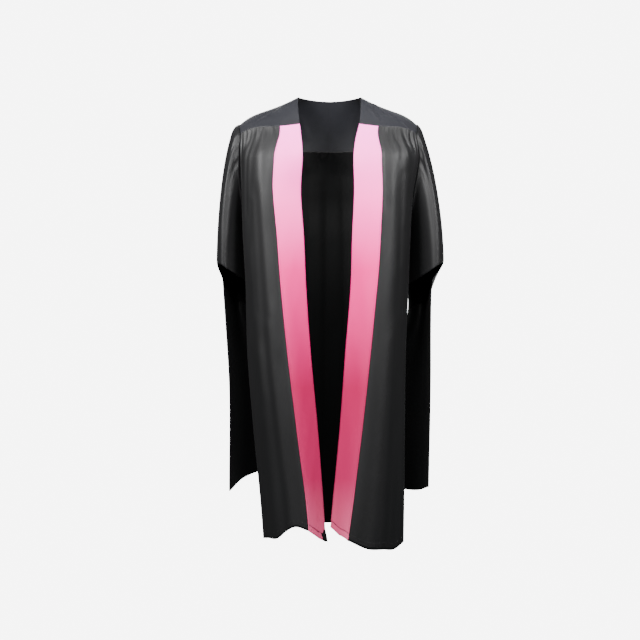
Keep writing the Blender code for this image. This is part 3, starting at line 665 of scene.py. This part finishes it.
# %% The sleeves' surface
def elbow_point(side, place):
    """Points of the edge at the arm opening, place 0 beside the body and 0.5 outermost."""
    ring = np.array(ELBOW_RING)
    count = len(ring)
    ring = np.vstack([ring[-2:], ring, ring[:3]])
    values = curve_through(range(-2, count + 3), ring, place * count)
    at = named(ELBOW_NAMES, np.moveaxis(values, -1, 0))
    x = at["x_r"] if side == "right" else at["x_l"]
    z = ELBOW_OUTER_Z - ELBOW_SLANT * (ELBOW_OUTER_X - x)
    return np.stack([x * SIDES[side], at["y"], z], axis=-1)


def spread(side, place, down):
    """How far out a sleeve has swung, part of the way down to the elbow."""
    outer = np.sin(np.pi * place) ** 2
    power = SWING_POWER + (OUTER_SWING_POWER[side] - SWING_POWER) * outer
    return (1 - (1 - down) ** SWING_START) ** power


def face_outs(side, grid, ring):
    """Directions out of a grid of points, which closes on itself if it is a ring."""
    if ring:
        inner = grid[:, :-1]
        round_it = np.roll(inner, -1, axis=1) - np.roll(inner, 1, axis=1)
        round_it = np.concatenate([round_it, round_it[:, :1]], axis=1)
    else:
        round_it = np.gradient(grid, axis=1)
    down_it = np.gradient(grid, axis=0)
    return -SIDES[side] * unit(np.cross(round_it, down_it))


def sleeve_depth(place, down):
    """How far gathers, folds and creases move the sleeve out, at places round it."""
    first, last = HEAD_GATHER_PLACES
    head = ease((place - first) / HEAD_GATHER_FADE) * ease((last - place) / HEAD_GATHER_FADE)
    part = HEAD_GATHER_SPREAD * place
    drop = SLEEVE_LENGTH * down
    depth = head * gather(HEAD_GATHERS, part, drop, HEAD_GATHER_DEPTH)
    depth = depth + head * puckers(HEAD_GATHERS, part, drop)
    depth = depth * ease(down / HEAD_SEAM_FADE)
    fade_in, fade_out = SLEEVE_FOLD_FADES
    for share, rows in ((FOLD_SHARE, SLEEVE_FOLDS), (1.0, SLEEVE_CREASES)):
        for row in rows:
            fold = named(SLEEVE_FOLD_NAMES, row)
            away = (place - fold["place"]) / fold["width"]
            fade = ease((down - fold["start"]) / fade_in) * ease((fold["end"] - down) / fade_out)
            depth = depth + share * fold["depth"] * np.exp(-away * away) * fade
    return depth


def sleeve_tube(side, columns, down):
    """The tube from the armhole to the elbow: points, directions out and places round it."""
    loop, loop_outs, shoulder_top = armhole_loop(side)
    steps = np.linalg.norm(np.diff(loop, axis=0), axis=1)
    distances = np.concatenate([[0.0], np.cumsum(steps)])
    along = np.roll(loop[:-1], -1, axis=0) - np.roll(loop[:-1], 1, axis=0)
    along = np.vstack([along, along[:1]])
    away = unit(SIDES[side] * np.cross(along, loop_outs))
    half = columns // 2
    top = distances[shoulder_top]
    fine = np.concatenate(
        [np.linspace(0.0, top, half + 1), np.linspace(top, distances[-1], half + 1)[1:]]
    )
    places = np.interp(fine, (0.0, top, distances[-1]), (0.0, 0.5, 1.0))
    start = curve_through(distances, loop, fine)
    outs = unit(curve_through(distances, loop_outs, fine))
    leave = curve_through(distances, away, fine)
    start = start + outs * (CLOTH + SEAM_GAP)
    start[-1] = start[0]
    elbow = elbow_point(side, places)
    down = down[:, None]
    puff = HEAD_LIFT * down / HEAD_LIFT_PLACE * np.exp(1 - down / HEAD_LIFT_PLACE)
    puff = puff * (FLAT_PUFF + (1 - FLAT_PUFF) * np.abs(leave[None, :, 2]))
    out_by = spread(side, places[None, :], down)
    swing = np.stack([out_by, out_by, 0 * out_by + down], axis=-1)
    grid = start[None] + leave[None] * puff[..., None] + (elbow - start)[None] * swing
    outs = face_outs(side, grid, True)
    depth = sleeve_depth(places[None, :], down)
    return grid + outs * depth[..., None], outs, places


def end_sheet(side, places, part):
    """The long end's back layer, place 0 at its outer fold and 1 at its inner edge."""
    table = np.array(END_SECTIONS)
    part = part[:, None]
    values = curve_through(table[:, 0], table, part[:, 0])
    at = named(END_NAMES, values.T)
    outer_x = at["outer_r"] if side == "right" else at["outer_l"]
    across = np.array(
        [
            (outer_x, at["outer_y"]),
            (at["middle_x"], at["middle_y"]),
            (at["inner_x"], at["inner_y"]),
        ]
    )
    plan = curve_through((0.0, 0.5, 1.0), across, places)
    hang = np.stack([plan[:, 0].T * SIDES[side], plan[:, 1].T], axis=-1)
    elbow = elbow_point(side, 0.5 + places / 2)
    bottom = curve_through((0.0, 0.5, 1.0), END_BOTTOMS[side], places)
    blend_length = END_BLEND * (OUTER_BLEND_SHARE + (1 - OUTER_BLEND_SHARE) * places)
    blend = ease(part / blend_length)[..., None]
    level = elbow[None, :, :2] + (hang - elbow[None, :, :2]) * blend
    z = elbow[None, :, 2] + (bottom - elbow[:, 2])[None] * part
    grid = np.concatenate([level, z[..., None]], axis=-1)
    return grid, face_outs(side, grid, False)


print("sleeve reaches x", round(float(np.abs(elbow_point("left", np.array([0.5])))[0, 0]), 3))

# %% [markdown]
# Next come the finishes. The black cloth is a smooth polyester with a soft sheen: a fine plain
# weave, seen only close up, over a very dark base. Its weave follows the piece's own UV map, which
# is laid out in metres, so that the threads run with the cut. The facings are satin, and the yoke
# is a slightly bluer black.

# %% Tools for finishes
THREAD = 0.0005


def node(tree, kind, **values):
    """A new node, with its named inputs set."""
    made = tree.nodes.new(kind)
    for name, value in values.items():
        made.inputs[name].default_value = value
    return made


def thread_height(tree, uv, direction):
    """Bands across the cloth, one for each thread."""
    bands = node(tree, "ShaderNodeTexWave", Scale=1.0 / THREAD / 6.2832 * 3.1416)
    bands.wave_type = "BANDS"
    bands.bands_direction = direction
    tree.links.new(uv, bands.inputs["Vector"])
    return bands.outputs["Fac"]


def cloth_finish(name, dark, light, roughness, sheen, weave, streak):
    """Woven cloth: two close colours in soft patches, thread bump and a sheen."""
    material = bpy.data.materials.new(name)
    material.use_nodes = True
    tree = material.node_tree
    shader = tree.nodes["Principled BSDF"]
    where = tree.nodes.new("ShaderNodeTexCoord")
    squeeze = tree.nodes.new("ShaderNodeMapping")
    squeeze.inputs["Scale"].default_value = streak
    tree.links.new(where.outputs["Object"], squeeze.inputs["Vector"])
    patches = node(tree, "ShaderNodeTexNoise", Scale=9.0, Detail=4.0, Roughness=0.55)
    tree.links.new(squeeze.outputs["Vector"], patches.inputs["Vector"])
    ramp = tree.nodes.new("ShaderNodeValToRGB")
    ramp.color_ramp.elements[0].position = 0.32
    ramp.color_ramp.elements[0].color = (*dark, 1.0)
    ramp.color_ramp.elements[1].position = 0.68
    ramp.color_ramp.elements[1].color = (*light, 1.0)
    tree.links.new(patches.outputs["Fac"], ramp.inputs["Fac"])
    tree.links.new(ramp.outputs["Color"], shader.inputs["Base Color"])
    rough = node(tree, "ShaderNodeMapRange")
    rough.inputs["To Min"].default_value = roughness - 0.05
    rough.inputs["To Max"].default_value = roughness + 0.05
    tree.links.new(patches.outputs["Fac"], rough.inputs["Value"])
    tree.links.new(rough.outputs["Result"], shader.inputs["Roughness"])
    warp = thread_height(tree, where.outputs["UV"], "X")
    weft = thread_height(tree, where.outputs["UV"], "Y")
    threads = tree.nodes.new("ShaderNodeMath")
    threads.operation = "MAXIMUM"
    tree.links.new(warp, threads.inputs[0])
    tree.links.new(weft, threads.inputs[1])
    bump = node(tree, "ShaderNodeBump", Strength=weave, Distance=0.0001)
    tree.links.new(threads.outputs["Value"], bump.inputs["Height"])
    tree.links.new(bump.outputs["Normal"], shader.inputs["Normal"])
    shader.inputs["Sheen Weight"].default_value = sheen
    shader.inputs["Sheen Roughness"].default_value = 0.35
    return material, shader


print("thread pitch:", THREAD * 1000, "mm")

# %% [markdown]
# The finishes share one recipe and differ in their values. The black cloth is nearly black, and
# what shows is its shine. The yoke is the same cloth, with its back layer doubled and a bluer tint;
# its base is made lighter as painted light, for the light on it where it lies closer to level. The satin is
# smoother and shinier.

# %% The finishes
black_cloth, black_shader = cloth_finish(
    "black_polyester",
    dark=(0.0048, 0.0048, 0.0051),
    light=(0.0066, 0.0066, 0.0070),
    roughness=0.50,
    sheen=0.02,
    weave=0.12,
    streak=(1.0, 1.0, 0.35),
)
black_shader.inputs["Specular IOR Level"].default_value = 0.20

# Painted light: the yoke's base colours are lighter than the black cloth's, for the light on its level top.
yoke_painted_light_cloth, yoke_painted_light_shader = cloth_finish(
    "charcoal_painted_light_yoke",
    dark=(0.0096, 0.0098, 0.0120),
    light=(0.0128, 0.0130, 0.0158),
    roughness=0.48,
    sheen=0.05,
    weave=0.12,
    streak=(1.0, 1.0, 1.0),
)
yoke_painted_light_shader.inputs["Specular IOR Level"].default_value = 0.24

pink_satin, satin_painted_light_shader = cloth_finish(
    "pink_satin",
    dark=(0.74, 0.070, 0.200),
    light=(0.80, 0.085, 0.235),
    roughness=0.38,
    sheen=0.02,
    weave=0.05,
    streak=(1.0, 1.0, 2.0),
)
satin_painted_light_shader.inputs["Specular IOR Level"].default_value = 0.15
print("finishes:", black_cloth.name, yoke_painted_light_cloth.name, pink_satin.name)

# %% [markdown]
# The satin is paler where the light lies on it. Most of that comes from the lamps, and a ramp down
# the strip, read from the height in Object coordinates, paints the rest into its colour as painted light.

# %% The satin's painted light
# Painted light: the stops are pale high on the chest, where the lamps light the satin, and deeper below.
PINK_PAINTED_LIGHT_STEPS = (
    ("height", "colour"),
    (-0.04, (1.00, 0.17, 0.62)),
    (-0.24, (1.00, 0.09, 0.42)),
    (-0.43, (0.66, 0.002, 0.165)),
    (-0.74, (0.29, 0.0020, 0.050)),
    (-0.98, (0.31, 0.0100, 0.064)),
    (-1.16, (0.50, 0.080, 0.165)),
)


def paint_light_down(material, shader, steps):
    """Painted light: colour that changes with height, paler high up where the lamps light the satin, varied
    a little by the finish's own patches.
    """
    tree = material.node_tree
    patches = shader.inputs["Base Color"].links[0].from_socket
    where = tree.nodes.new("ShaderNodeTexCoord")
    split = tree.nodes.new("ShaderNodeSeparateXYZ")
    height = tree.nodes.new("ShaderNodeMapRange")
    ramp = tree.nodes.new("ShaderNodeValToRGB")
    blend = tree.nodes.new("ShaderNodeMix")
    blend.data_type = "RGBA"
    blend.inputs["Factor"].default_value = 0.04
    rows = sorted(steps[1:])
    low, high = rows[0][0], rows[-1][0]
    height.inputs["From Min"].default_value = low
    height.inputs["From Max"].default_value = high
    for row in rows[1:-1]:
        ramp.color_ramp.elements.new((row[0] - low) / (high - low))
    for stop, (_, colour) in zip(ramp.color_ramp.elements, rows):
        stop.color = (*colour, 1.0)
    tree.links.new(where.outputs["Object"], split.inputs["Vector"])
    tree.links.new(split.outputs["Z"], height.inputs["Value"])
    tree.links.new(height.outputs["Result"], ramp.inputs["Fac"])
    tree.links.new(ramp.outputs["Color"], blend.inputs["A"])
    tree.links.new(patches, blend.inputs["B"])
    tree.links.new(blend.outputs["Result"], shader.inputs["Base Color"])


paint_light_down(pink_satin, satin_painted_light_shader, PINK_PAINTED_LIGHT_STEPS)
print("the satin's colour has", len(PINK_PAINTED_LIGHT_STEPS) - 1, "steps")

# %% [markdown]
# The seams are sewn with threads. Black thread is a little paler than its cloth. The facings' thread is a
# dark red, and along the hem its beads are made wide and very dark as painted shade: the line of shade under
# the hem's fold.

# %% Sewing threads and the hem's painted shade
black_thread, _ = cloth_finish(
    "black_thread",
    dark=(0.0060, 0.0060, 0.0065),
    light=(0.0100, 0.0100, 0.0110),
    roughness=0.55,
    sheen=0.0,
    weave=0.0,
    streak=(1.0, 1.0, 1.0),
)
# Partly painted shade: this thread is nearly black-red so that the facings' hem row draws the shade line of
# the hem's fold.
red_thread_painted_hem_shade, _ = cloth_finish(
    "red_thread_painted_hem_shade",
    dark=(0.045, 0.0015, 0.007),
    light=(0.060, 0.002, 0.010),
    roughness=0.45,
    sheen=0.0,
    weave=0.0,
    streak=(1.0, 1.0, 1.0),
)
print("threads:", black_thread.name, red_thread_painted_hem_shade.name)

# %% [markdown]
# Every sheet starts as Blender's own grid. Its points are moved to the cloth's, its UV map is
# given the distances along the cloth, and a Solidify modifier gives it its thickness on the inner
# side, so that the outer face stays where the CAD wall's is.


# %% From a grid of points to a cloth piece
WELD_DISTANCE = 0.00002


def lengths_along(grid, axis):
    """Distances along a grid's rows or columns, in metres."""
    steps = np.linalg.norm(np.diff(grid, axis=axis), axis=2)
    start = np.zeros_like(np.take(steps, [0], axis=axis))
    return np.concatenate([start, np.cumsum(steps, axis=axis)], axis=axis)


def cloth_piece(name, grid, outs, material, thickness=SHELL, keep=None, weld=False):
    """A sheet of cloth whose points are grid[row][column], turned to face along outs."""
    rows, columns = grid.shape[:2]
    work = bmesh.new()
    uv_layer = work.loops.layers.uv.new("cut")
    bmesh.ops.create_grid(work, x_segments=columns - 1, y_segments=rows - 1, size=0.5)
    across = lengths_along(grid, 1)
    down = lengths_along(grid, 0)
    place = {}
    for vert in work.verts:
        column = round((vert.co.x + 0.5) * (columns - 1))
        row = round((0.5 - vert.co.y) * (rows - 1))
        place[vert] = (row, column)
    for face in work.faces:
        for loop in face.loops:
            row, column = place[loop.vert]
            loop[uv_layer].uv = (across[row, column], -down[row, column])
    for vert, (row, column) in place.items():
        vert.co = grid[row, column]
    if keep is not None:
        spare = [f for f in work.faces if not all(keep(*place[v]) for v in f.verts)]
        bmesh.ops.delete(work, geom=spare, context="FACES")
    work.normal_update()
    agree = 0.0
    for face in work.faces:
        row, column = place[face.verts[0]]
        agree += face.normal.dot(Vector(outs[row, column]))
    if agree < 0:
        bmesh.ops.reverse_faces(work, faces=work.faces[:])
    if weld:
        rim = [v for v in work.verts if v.is_boundary]
        bmesh.ops.remove_doubles(work, verts=rim, dist=WELD_DISTANCE)
    mesh = bpy.data.meshes.new(name)
    work.to_mesh(mesh)
    work.free()
    mesh.shade_smooth()
    mesh.materials.append(material)
    piece = bpy.data.objects.new(name, mesh)
    bpy.context.collection.objects.link(piece)
    if thickness:
        wall = piece.modifiers.new("thickness", "SOLIDIFY")
        wall.thickness = thickness
        wall.offset = -1.0
    return piece


def dress(piece, nodes):
    """The piece stands for its CAD nodes, which are hidden, on the gown's one body."""
    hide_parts(*nodes)
    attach(piece, "root")
    print(piece.name, "has", len(piece.data.polygons), "faces")


print("a sheet's thickness:", SHELL * 1000, "mm")

# %% [markdown]
# Every seam and hem is held by a row of short stitches. A stitch is a small flattened bead, set
# along the cloth, and the rows of one piece of cloth are joined into one object.

# %% Rows of stitches
STITCH_PITCH = 0.0042
STITCH_HALF = np.array([0.00155, 0.00030, 0.00022])
# The hem's beads are wide: partly stitches, partly a painted shade line along the facing's hem fold.
HEM_SHADE_STITCH_HALF = np.array([0.00205, 0.00100, 0.00045])
STITCH_LIFT = 0.0001
STITCH_BATCH = 40


def stitch_places(points, outs, half_sizes):
    """Where each bead of a row goes: a matrix that flattens it and lays it along the cloth."""
    steps = np.linalg.norm(np.diff(points, axis=0), axis=1)
    distances = np.concatenate([[0.0], np.cumsum(steps)])
    count = max(int(distances[-1] / STITCH_PITCH), 1)
    middles = (np.arange(count) + 0.5) / count * distances[-1]

    def read(values, ahead=0.0):
        return np.column_stack([np.interp(middles + ahead, distances, v) for v in values.T])

    along = unit(read(points, STITCH_PITCH / 2) - read(points, -STITCH_PITCH / 2))
    across = unit(np.cross(read(outs), along))
    out = np.cross(along, across)
    at = read(points) + out * STITCH_LIFT
    for corner, axes in zip(at, np.stack([along, across, out], axis=1)):
        place = Matrix(axes * half_sizes[:, None]).transposed().to_4x4()
        place.translation = corner
        yield place


def stitch_piece(name, lines, material, half_sizes=STITCH_HALF):
    """One object made of rows of stitches, each row a pair of points and directions out."""
    places = [place for line in lines for place in stitch_places(*line, half_sizes)]
    mesh = bpy.data.meshes.new(name)
    whole = bmesh.new()
    for first in range(0, len(places), STITCH_BATCH):
        batch = bmesh.new()
        for place in places[first : first + STITCH_BATCH]:
            bmesh.ops.create_uvsphere(batch, u_segments=6, v_segments=4, radius=1.0, matrix=place)
        batch.to_mesh(mesh)
        batch.free()
        whole.from_mesh(mesh)
    whole.to_mesh(mesh)
    whole.free()
    mesh.shade_smooth()
    mesh.materials.append(material)
    piece = bpy.data.objects.new(name, mesh)
    bpy.context.collection.objects.link(piece)
    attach(piece, "root")
    print(name, "has", len(places), "stitches")
    return piece


print("a stitch is", 2000 * STITCH_HALF[0], "mm long, and the next one starts", STITCH_PITCH * 1000, "mm on")

# %% [markdown]
# The fronts and the back are cut first. Rows lie closer together near the yoke seam, where the
# gathers need them. Above the seam, each piece's allowance is turned in and tucked up under the
# yoke. At the lower tip of the wearer's right front, the black cloth is turned back a little less
# than the satin, so a few millimetres of it show past the facing.

# %% The fronts and the back
def panel_rows(upper, lower):
    """Places down a panel, closer together near the seam."""
    top = np.linspace(0.0, 1.0, upper) ** 1.35
    low = np.linspace(1.0, 2.0, lower)[1:]
    return np.concatenate([top, low])


def with_allowance(points, outs, rise):
    """Rows above a panel's own: its seam allowance, turned sharply in and up under the yoke."""
    turned = points[:1] - outs[:1] * ALLOWANCE_IN
    tucked = rise[None] - outs[:1] * ALLOWANCE_IN
    near = turned + 0.06 * (tucked - turned)
    points = np.concatenate([tucked, near, turned, points])
    return points, np.concatenate([outs[:1], outs[:1], outs[:1], outs])


PANEL_DOWN = panel_rows(90, 110)
HEM_STITCH_DOWN = 1.979
RETURN_SIDE = "right"
RETURN_OUT = 0.006
RETURN_FROM = 1.94
BACK_COLUMNS = 236
for side in SIDES:
    across = np.concatenate([np.linspace(0.0, 1.0, 15), np.linspace(1.0, 2.0, 121)[1:]])
    points, outs = front_sheet(side, across[None, :], PANEL_DOWN[:, None])
    seam_places = np.interp(across, (0.0, 1.0, 2.0), (0.0, FACING_SEAM_PLACE, 1.0))
    if side == RETURN_SIDE:
        low = ease((PANEL_DOWN[:, None] - RETURN_FROM) / (2.0 - RETURN_FROM))
        points[..., 0] += RETURN_OUT * low * ease(1 - 3 * across)
    points, outs = with_allowance(points, outs, yoke_rib(side, 0.3, seam_places))
    front = cloth_piece(f"front_cloth_{side}", points, outs, black_cloth)
    dress(front, [f"front_{side}"])
    hem_line = front_sheet(side, np.linspace(1.0, 1.99, 160), np.full(160, HEM_STITCH_DOWN))
    stitches = stitch_piece(f"front_stitches_{side}", [hem_line], black_thread)

points, outs = back_sheet(BACK_COLUMNS, PANEL_DOWN[:, None])
half = ARMHOLE_RIBS + 2 * np.linspace(0.0, 1.0, BACK_COLUMNS // 2 + 1)
rise = np.concatenate([yoke_rib("right", half, 0.985), yoke_rib("left", half[-2::-1], 0.985)])
points, outs = with_allowance(points, outs, rise)
back = cloth_piece("back_cloth", points, outs, black_cloth)
dress(back, ["back"])
points, outs = back_sheet(BACK_COLUMNS, np.array([[HEM_STITCH_DOWN]]))
stitches = stitch_piece("back_stitches", [(points[0], outs[0])], black_thread)

# %% [markdown]
# The yoke is a single shaped piece that lies over both shoulders. Where the cloth turns over the
# shoulder it has a few slanting creases.

# %% The yoke
YOKE_CREASE_NAMES = ("side", "rib_a", "across_a", "rib_b", "across_b", "width", "depth")
YOKE_CREASES = (
    ("left", 1.9, 0.10, 0.50, 0.32, 0.0070, 0.0022),
    ("left", 1.8, 0.16, 0.50, 0.38, 0.0060, -0.0020),
    ("left", 2.2, 0.22, 1.2, 0.42, 0.0050, 0.0018),
    ("left", 1.5, 0.40, 0.60, 0.72, 0.0050, -0.0016),
    ("left", 1.0, 0.62, 0.10, 0.88, 0.0050, 0.0016),
    ("right", 2.0, 0.16, 1.0, 0.46, 0.0060, 0.0018),
    ("right", 1.6, 0.50, 0.40, 0.80, 0.0070, -0.0016),
    ("right", 4.6, 0.30, 5.4, 0.80, 0.0090, -0.0018),
    ("left", 4.8, 0.25, 5.3, 0.85, 0.0090, -0.0018),
)


def yoke_crease_depth(side, points):
    """Soft slanting creases, each along a straight line between two places on the yoke."""
    depth = np.zeros(points.shape[:-1])
    for row in YOKE_CREASES:
        crease = named(YOKE_CREASE_NAMES, row)
        if crease["side"] != side:
            continue
        start = yoke_rib(side, crease["rib_a"], crease["across_a"])
        end = yoke_rib(side, crease["rib_b"], crease["across_b"])
        line = end - start
        along = np.clip((points - start) @ line / (line @ line), 0.0, 1.0)
        away = np.linalg.norm(points - start - along[..., None] * line, axis=-1)
        taper = np.sin(np.pi * along) ** 0.8
        depth += crease["depth"] * taper * np.exp(-((away / crease["width"]) ** 2))
    return depth


across = np.linspace(0.0, 1.0, 61)[None, :]
halves = []
for side in SIDES:
    ribs = np.linspace(0.0, LAST_RIB, 121)[:, None]
    points = yoke_rib(side, ribs, across)
    outs = yoke_outs(side, ribs, across)
    depth = yoke_crease_depth(side, points) * ease(across / 0.06) * ease((1 - across) / 0.06)
    halves.append((points + outs * (depth * ease(ribs / 0.15))[..., None], outs))
points, outs = (np.concatenate([r, l[-2::-1]]) for r, l in zip(*halves))
yoke = cloth_piece("yoke_piece", points, outs, yoke_painted_light_cloth)
dress(yoke, ["yoke"])
lines = []
for side in SIDES:
    along = np.linspace(0.01, 0.99, 50)
    lines.append((yoke_rib(side, 0.06, along), yoke_outs(side, 0.06, along)))
    around = np.linspace(ARMHOLE_RIBS, LAST_RIB, 60)
    lines.append((yoke_rib(side, around, 0.985), yoke_outs(side, around, 0.985)))
stitches = stitch_piece("yoke_stitches", lines, black_thread)

# %% [markdown]
# The satin facings are laid on the fronts' edges: they are the fronts' own surface, moved out by
# the thickness of a seam and of the satin. Satin is soft, so it gets faint ripples of its own, and
# its outer edge is rolled over. The stitches of the hem draw it in along a line.

# %% The facings
RIPPLES = ((31.0, 7.0, 0.00035), (57.0, -11.0, 0.00022), (12.0, 3.0, 0.00060))


def ripple_depth(across, z, side):
    """Faint slanting ripples, which fade out at the strip's long edges."""
    depth = 0.0
    for rate, lean, height in RIPPLES:
        depth = depth + height * np.sin(rate * z + lean * across * SIDES[side] + rate)
    return depth * np.sin(np.pi * across)


def facing_sheet(side, across, down):
    """Points of a facing, with a dent along the stitches of its hem, steep on its upper side."""
    across, down = np.broadcast_arrays(across, down)
    points, outs = front_sheet(side, across, down)
    below = down - HEM_STITCH_DOWN
    dent = HEM_DENT * np.exp(-((below / np.where(below < 0, *HEM_DENT_WIDTHS)) ** 2))
    dent = dent + EDGE_ROLL * ease((across - EDGE_ROLL_PLACE) / (1 - EDGE_ROLL_PLACE))
    lift = SEAM_GAP + FACING_CLOTH + ripple_depth(across, points[..., 2], side) - dent
    return points + outs * lift[..., None], outs


HEM_DENT = 0.0011
HEM_DENT_WIDTHS = (0.0014, 0.0100)
EDGE_ROLL = 0.0008
EDGE_ROLL_PLACE = 0.970
FACING_ACROSS = np.concatenate([np.linspace(0.0, 0.96, 28), np.linspace(0.96, 1.0, 9)[1:]])
FACING_DOWN = np.concatenate([PANEL_DOWN[:-5], np.linspace(PANEL_DOWN[-5], 2.0, 40)])
for side in SIDES:
    points, outs = facing_sheet(side, FACING_ACROSS[None, :], FACING_DOWN[:, None])
    turned = points[:1] - outs[:1] * FACING_CLOTH
    points, outs = np.concatenate([turned, points]), np.concatenate([outs[:1], outs])
    facing = cloth_piece(f"facing_satin_{side}", points, outs, pink_satin)
    dress(facing, [f"facing_{side}"])
    hem = facing_sheet(side, np.linspace(0.03, 0.97, 40), np.full(40, HEM_STITCH_DOWN))
    edges = [facing_sheet(side, np.full(200, at), np.linspace(0.02, 1.97, 200)) for at in (0.03, 0.955)]
    # The hem's row is painted shade as well as stitches: wide, dark beads along the hem's fold.
    name = f"facing_hem_painted_shade_stitches_{side}"
    rows = [stitch_piece(name, [hem], red_thread_painted_hem_shade, HEM_SHADE_STITCH_HALF)]
    rows.append(stitch_piece(f"facing_edge_stitches_{side}", edges, red_thread_painted_hem_shade))

# %% [markdown]
# Each sleeve is one grid: rows round the tube down to the elbow, then rows of the long end. The
# front half of the lower rows is deleted, which leaves the opening for the arm, and the tube is
# closed by welding its two edges. A second sheet closes the long end in front.

# %% The sleeves
SLEEVE_COLUMNS = 180
SLEEVE_DOWN = np.linspace(0.0, 1.0, 96) ** 1.25
END_PARTS = np.linspace(0.0, 1.0, 90)
CUFF_STITCH_DOWN = 0.965

for side in SIDES:
    tube, tube_outs, places = sleeve_tube(side, SLEEVE_COLUMNS, SLEEVE_DOWN)
    outer = SLEEVE_COLUMNS // 2
    end, end_outs = end_sheet(side, 2 * places[outer:] - 1, END_PARTS)
    low = np.repeat(tube[-1:], len(END_PARTS) - 1, axis=0)
    low_outs = np.repeat(tube_outs[-1:], len(END_PARTS) - 1, axis=0)
    low[:, outer:] = end[1:]
    low_outs[:, outer:] = end_outs[1:]
    last_row = len(SLEEVE_DOWN) - 1
    sleeve = cloth_piece(
        f"sleeve_cloth_{side}",
        np.concatenate([tube, low]),
        np.concatenate([tube_outs, low_outs]),
        black_cloth,
        keep=lambda row, column: row <= last_row or column >= outer,
        weld=True,
    )
    dress(sleeve, [f"sleeve_{side}"])
    edge_row, edge_outs, _ = sleeve_tube(side, SLEEVE_COLUMNS, np.array([0.90, CUFF_STITCH_DOWN, 1.0]))
    cuff = (edge_row[1, : outer + 1], edge_outs[1, : outer + 1])
    low_edge, low_edge_outs = end_sheet(side, 2 * places[outer:] - 1, np.array([0.95, 0.975, 1.0]))
    bottom = (low_edge[1], low_edge_outs[1])
    stitches = stitch_piece(f"sleeve_stitches_{side}", [cuff, bottom], black_thread)
    mouth = END_PARTS >= END_MOUTH
    inner_place = 2 * places[outer:] - 1
    loose = END_LOOSE * np.sin(np.pi * inner_place)[None, :] * (1 - END_PARTS[mouth][:, None] ** 8)
    moved = end[mouth] - end_outs[mouth] * (CLOTH + SEAM_GAP + loose)[..., None]
    end_front = cloth_piece(f"sleeve_end_cloth_{side}", moved, end_outs[mouth], black_cloth)
    dress(end_front, [f"sleeve_end_{side}"])

# %% [markdown]
# Behind the gown stands one white panel, far enough away to light almost nothing. It fills the
# picture. It is stage, not part of the gown.

# %% Backdrop
BACKDROP_Y = 22.0
BACKDROP_SIZE = 13.0
white_panel = bpy.data.materials.new("white_panel")
white_panel.use_nodes = True
panel_shader = white_panel.node_tree.nodes["Principled BSDF"]
panel_shader.inputs["Base Color"].default_value = (0.9, 0.9, 0.9, 1.0)
panel_shader.inputs["Emission Color"].default_value = (1.0, 1.0, 1.0, 1.0)
panel_shader.inputs["Emission Strength"].default_value = 7.0

work = bmesh.new()
stand_up = Matrix.Translation((0.0, BACKDROP_Y, -0.5)) @ Matrix.Rotation(math.radians(90), 4, "X")
bmesh.ops.create_grid(work, x_segments=4, y_segments=4, size=BACKDROP_SIZE / 2, matrix=stand_up)
backdrop_mesh = bpy.data.meshes.new("backdrop")
work.to_mesh(backdrop_mesh)
work.free()
backdrop_mesh.materials.append(white_panel)
backdrop = bpy.data.objects.new("backdrop", backdrop_mesh)
bpy.context.collection.objects.link(backdrop)
print("backdrop at y", BACKDROP_Y)

# %% [markdown]
# A wide key lamp hangs in front, and two pairs of lamps hang beside it, one pair higher and one
# further out. Upright cloth mirrors them only high on the chest, and the pairs have narrow beams
# that are aimed there, so the black cloth and the satin shine there and darken towards the hem.

# %% Light
def area_lamp(name, place, target, size, watts, beam=180.0):
    """A soft rectangular lamp at a place, turned to a target, with the angle of its beam."""
    lamp = bpy.data.lights.new(name, "AREA")
    lamp.shape = "RECTANGLE"
    lamp.size, lamp.size_y = size
    lamp.energy = watts
    lamp.spread = math.radians(beam)
    holder = bpy.data.objects.new(name, lamp)
    holder.location = place
    holder.rotation_euler = (Vector(target) - Vector(place)).to_track_quat("-Z", "Y").to_euler()
    bpy.context.collection.objects.link(holder)


BEAM = 64.0
LAMPS = (
    ("key", (0.0, -2.9, 1.45), (0.0, 0.0, -0.15), (5.2, 1.0), 185.0),
    ("top_right", (-1.7, -2.2, 2.0), (-0.2, 0.0, 0.0), (1.2, 1.2), 23.0, BEAM),
    ("top_left", (1.7, -2.2, 2.0), (0.2, 0.0, 0.0), (1.2, 1.2), 18.0, BEAM),
    ("side_right", (-2.0, -1.9, 1.1), (-0.22, 0.0, 0.0), (1.5, 1.0), 26.0, BEAM),
    ("side_left", (2.0, -1.9, 1.1), (0.22, 0.0, 0.0), (1.5, 1.0), 21.0, BEAM),
    ("rear", (0.0, 2.6, 1.3), (0.0, 0.0, -0.4), (2.0, 1.2), 40.0),
)
for row in LAMPS:
    area_lamp(*row)

world = bpy.data.worlds.new("soft_room")
world.use_nodes = True
world.node_tree.nodes["Background"].inputs["Color"].default_value = (0.95, 0.97, 1.0, 1.0)
world.node_tree.nodes["Background"].inputs["Strength"].default_value = 0.08
bpy.context.scene.world = world
print("lamps:", len(LAMPS))

# %% [markdown]
# The camera stands five metres in front, level, at the height of the middle of the picture.

# %% Camera
CAMERA_DISTANCE = 5.0
FRAME_WIDTH = 1.728
SENSOR = 36.0
lens = bpy.data.cameras.new("camera")
lens.sensor_width = SENSOR
lens.lens = SENSOR * CAMERA_DISTANCE / FRAME_WIDTH
camera = bpy.data.objects.new("camera", lens)
camera.location = (-0.027, -CAMERA_DISTANCE, -0.5616)
camera.rotation_euler = (math.radians(90.0), 0.0, 0.0)
bpy.context.collection.objects.link(camera)
bpy.context.scene.camera = camera
print("lens:", round(lens.lens, 1), "mm")
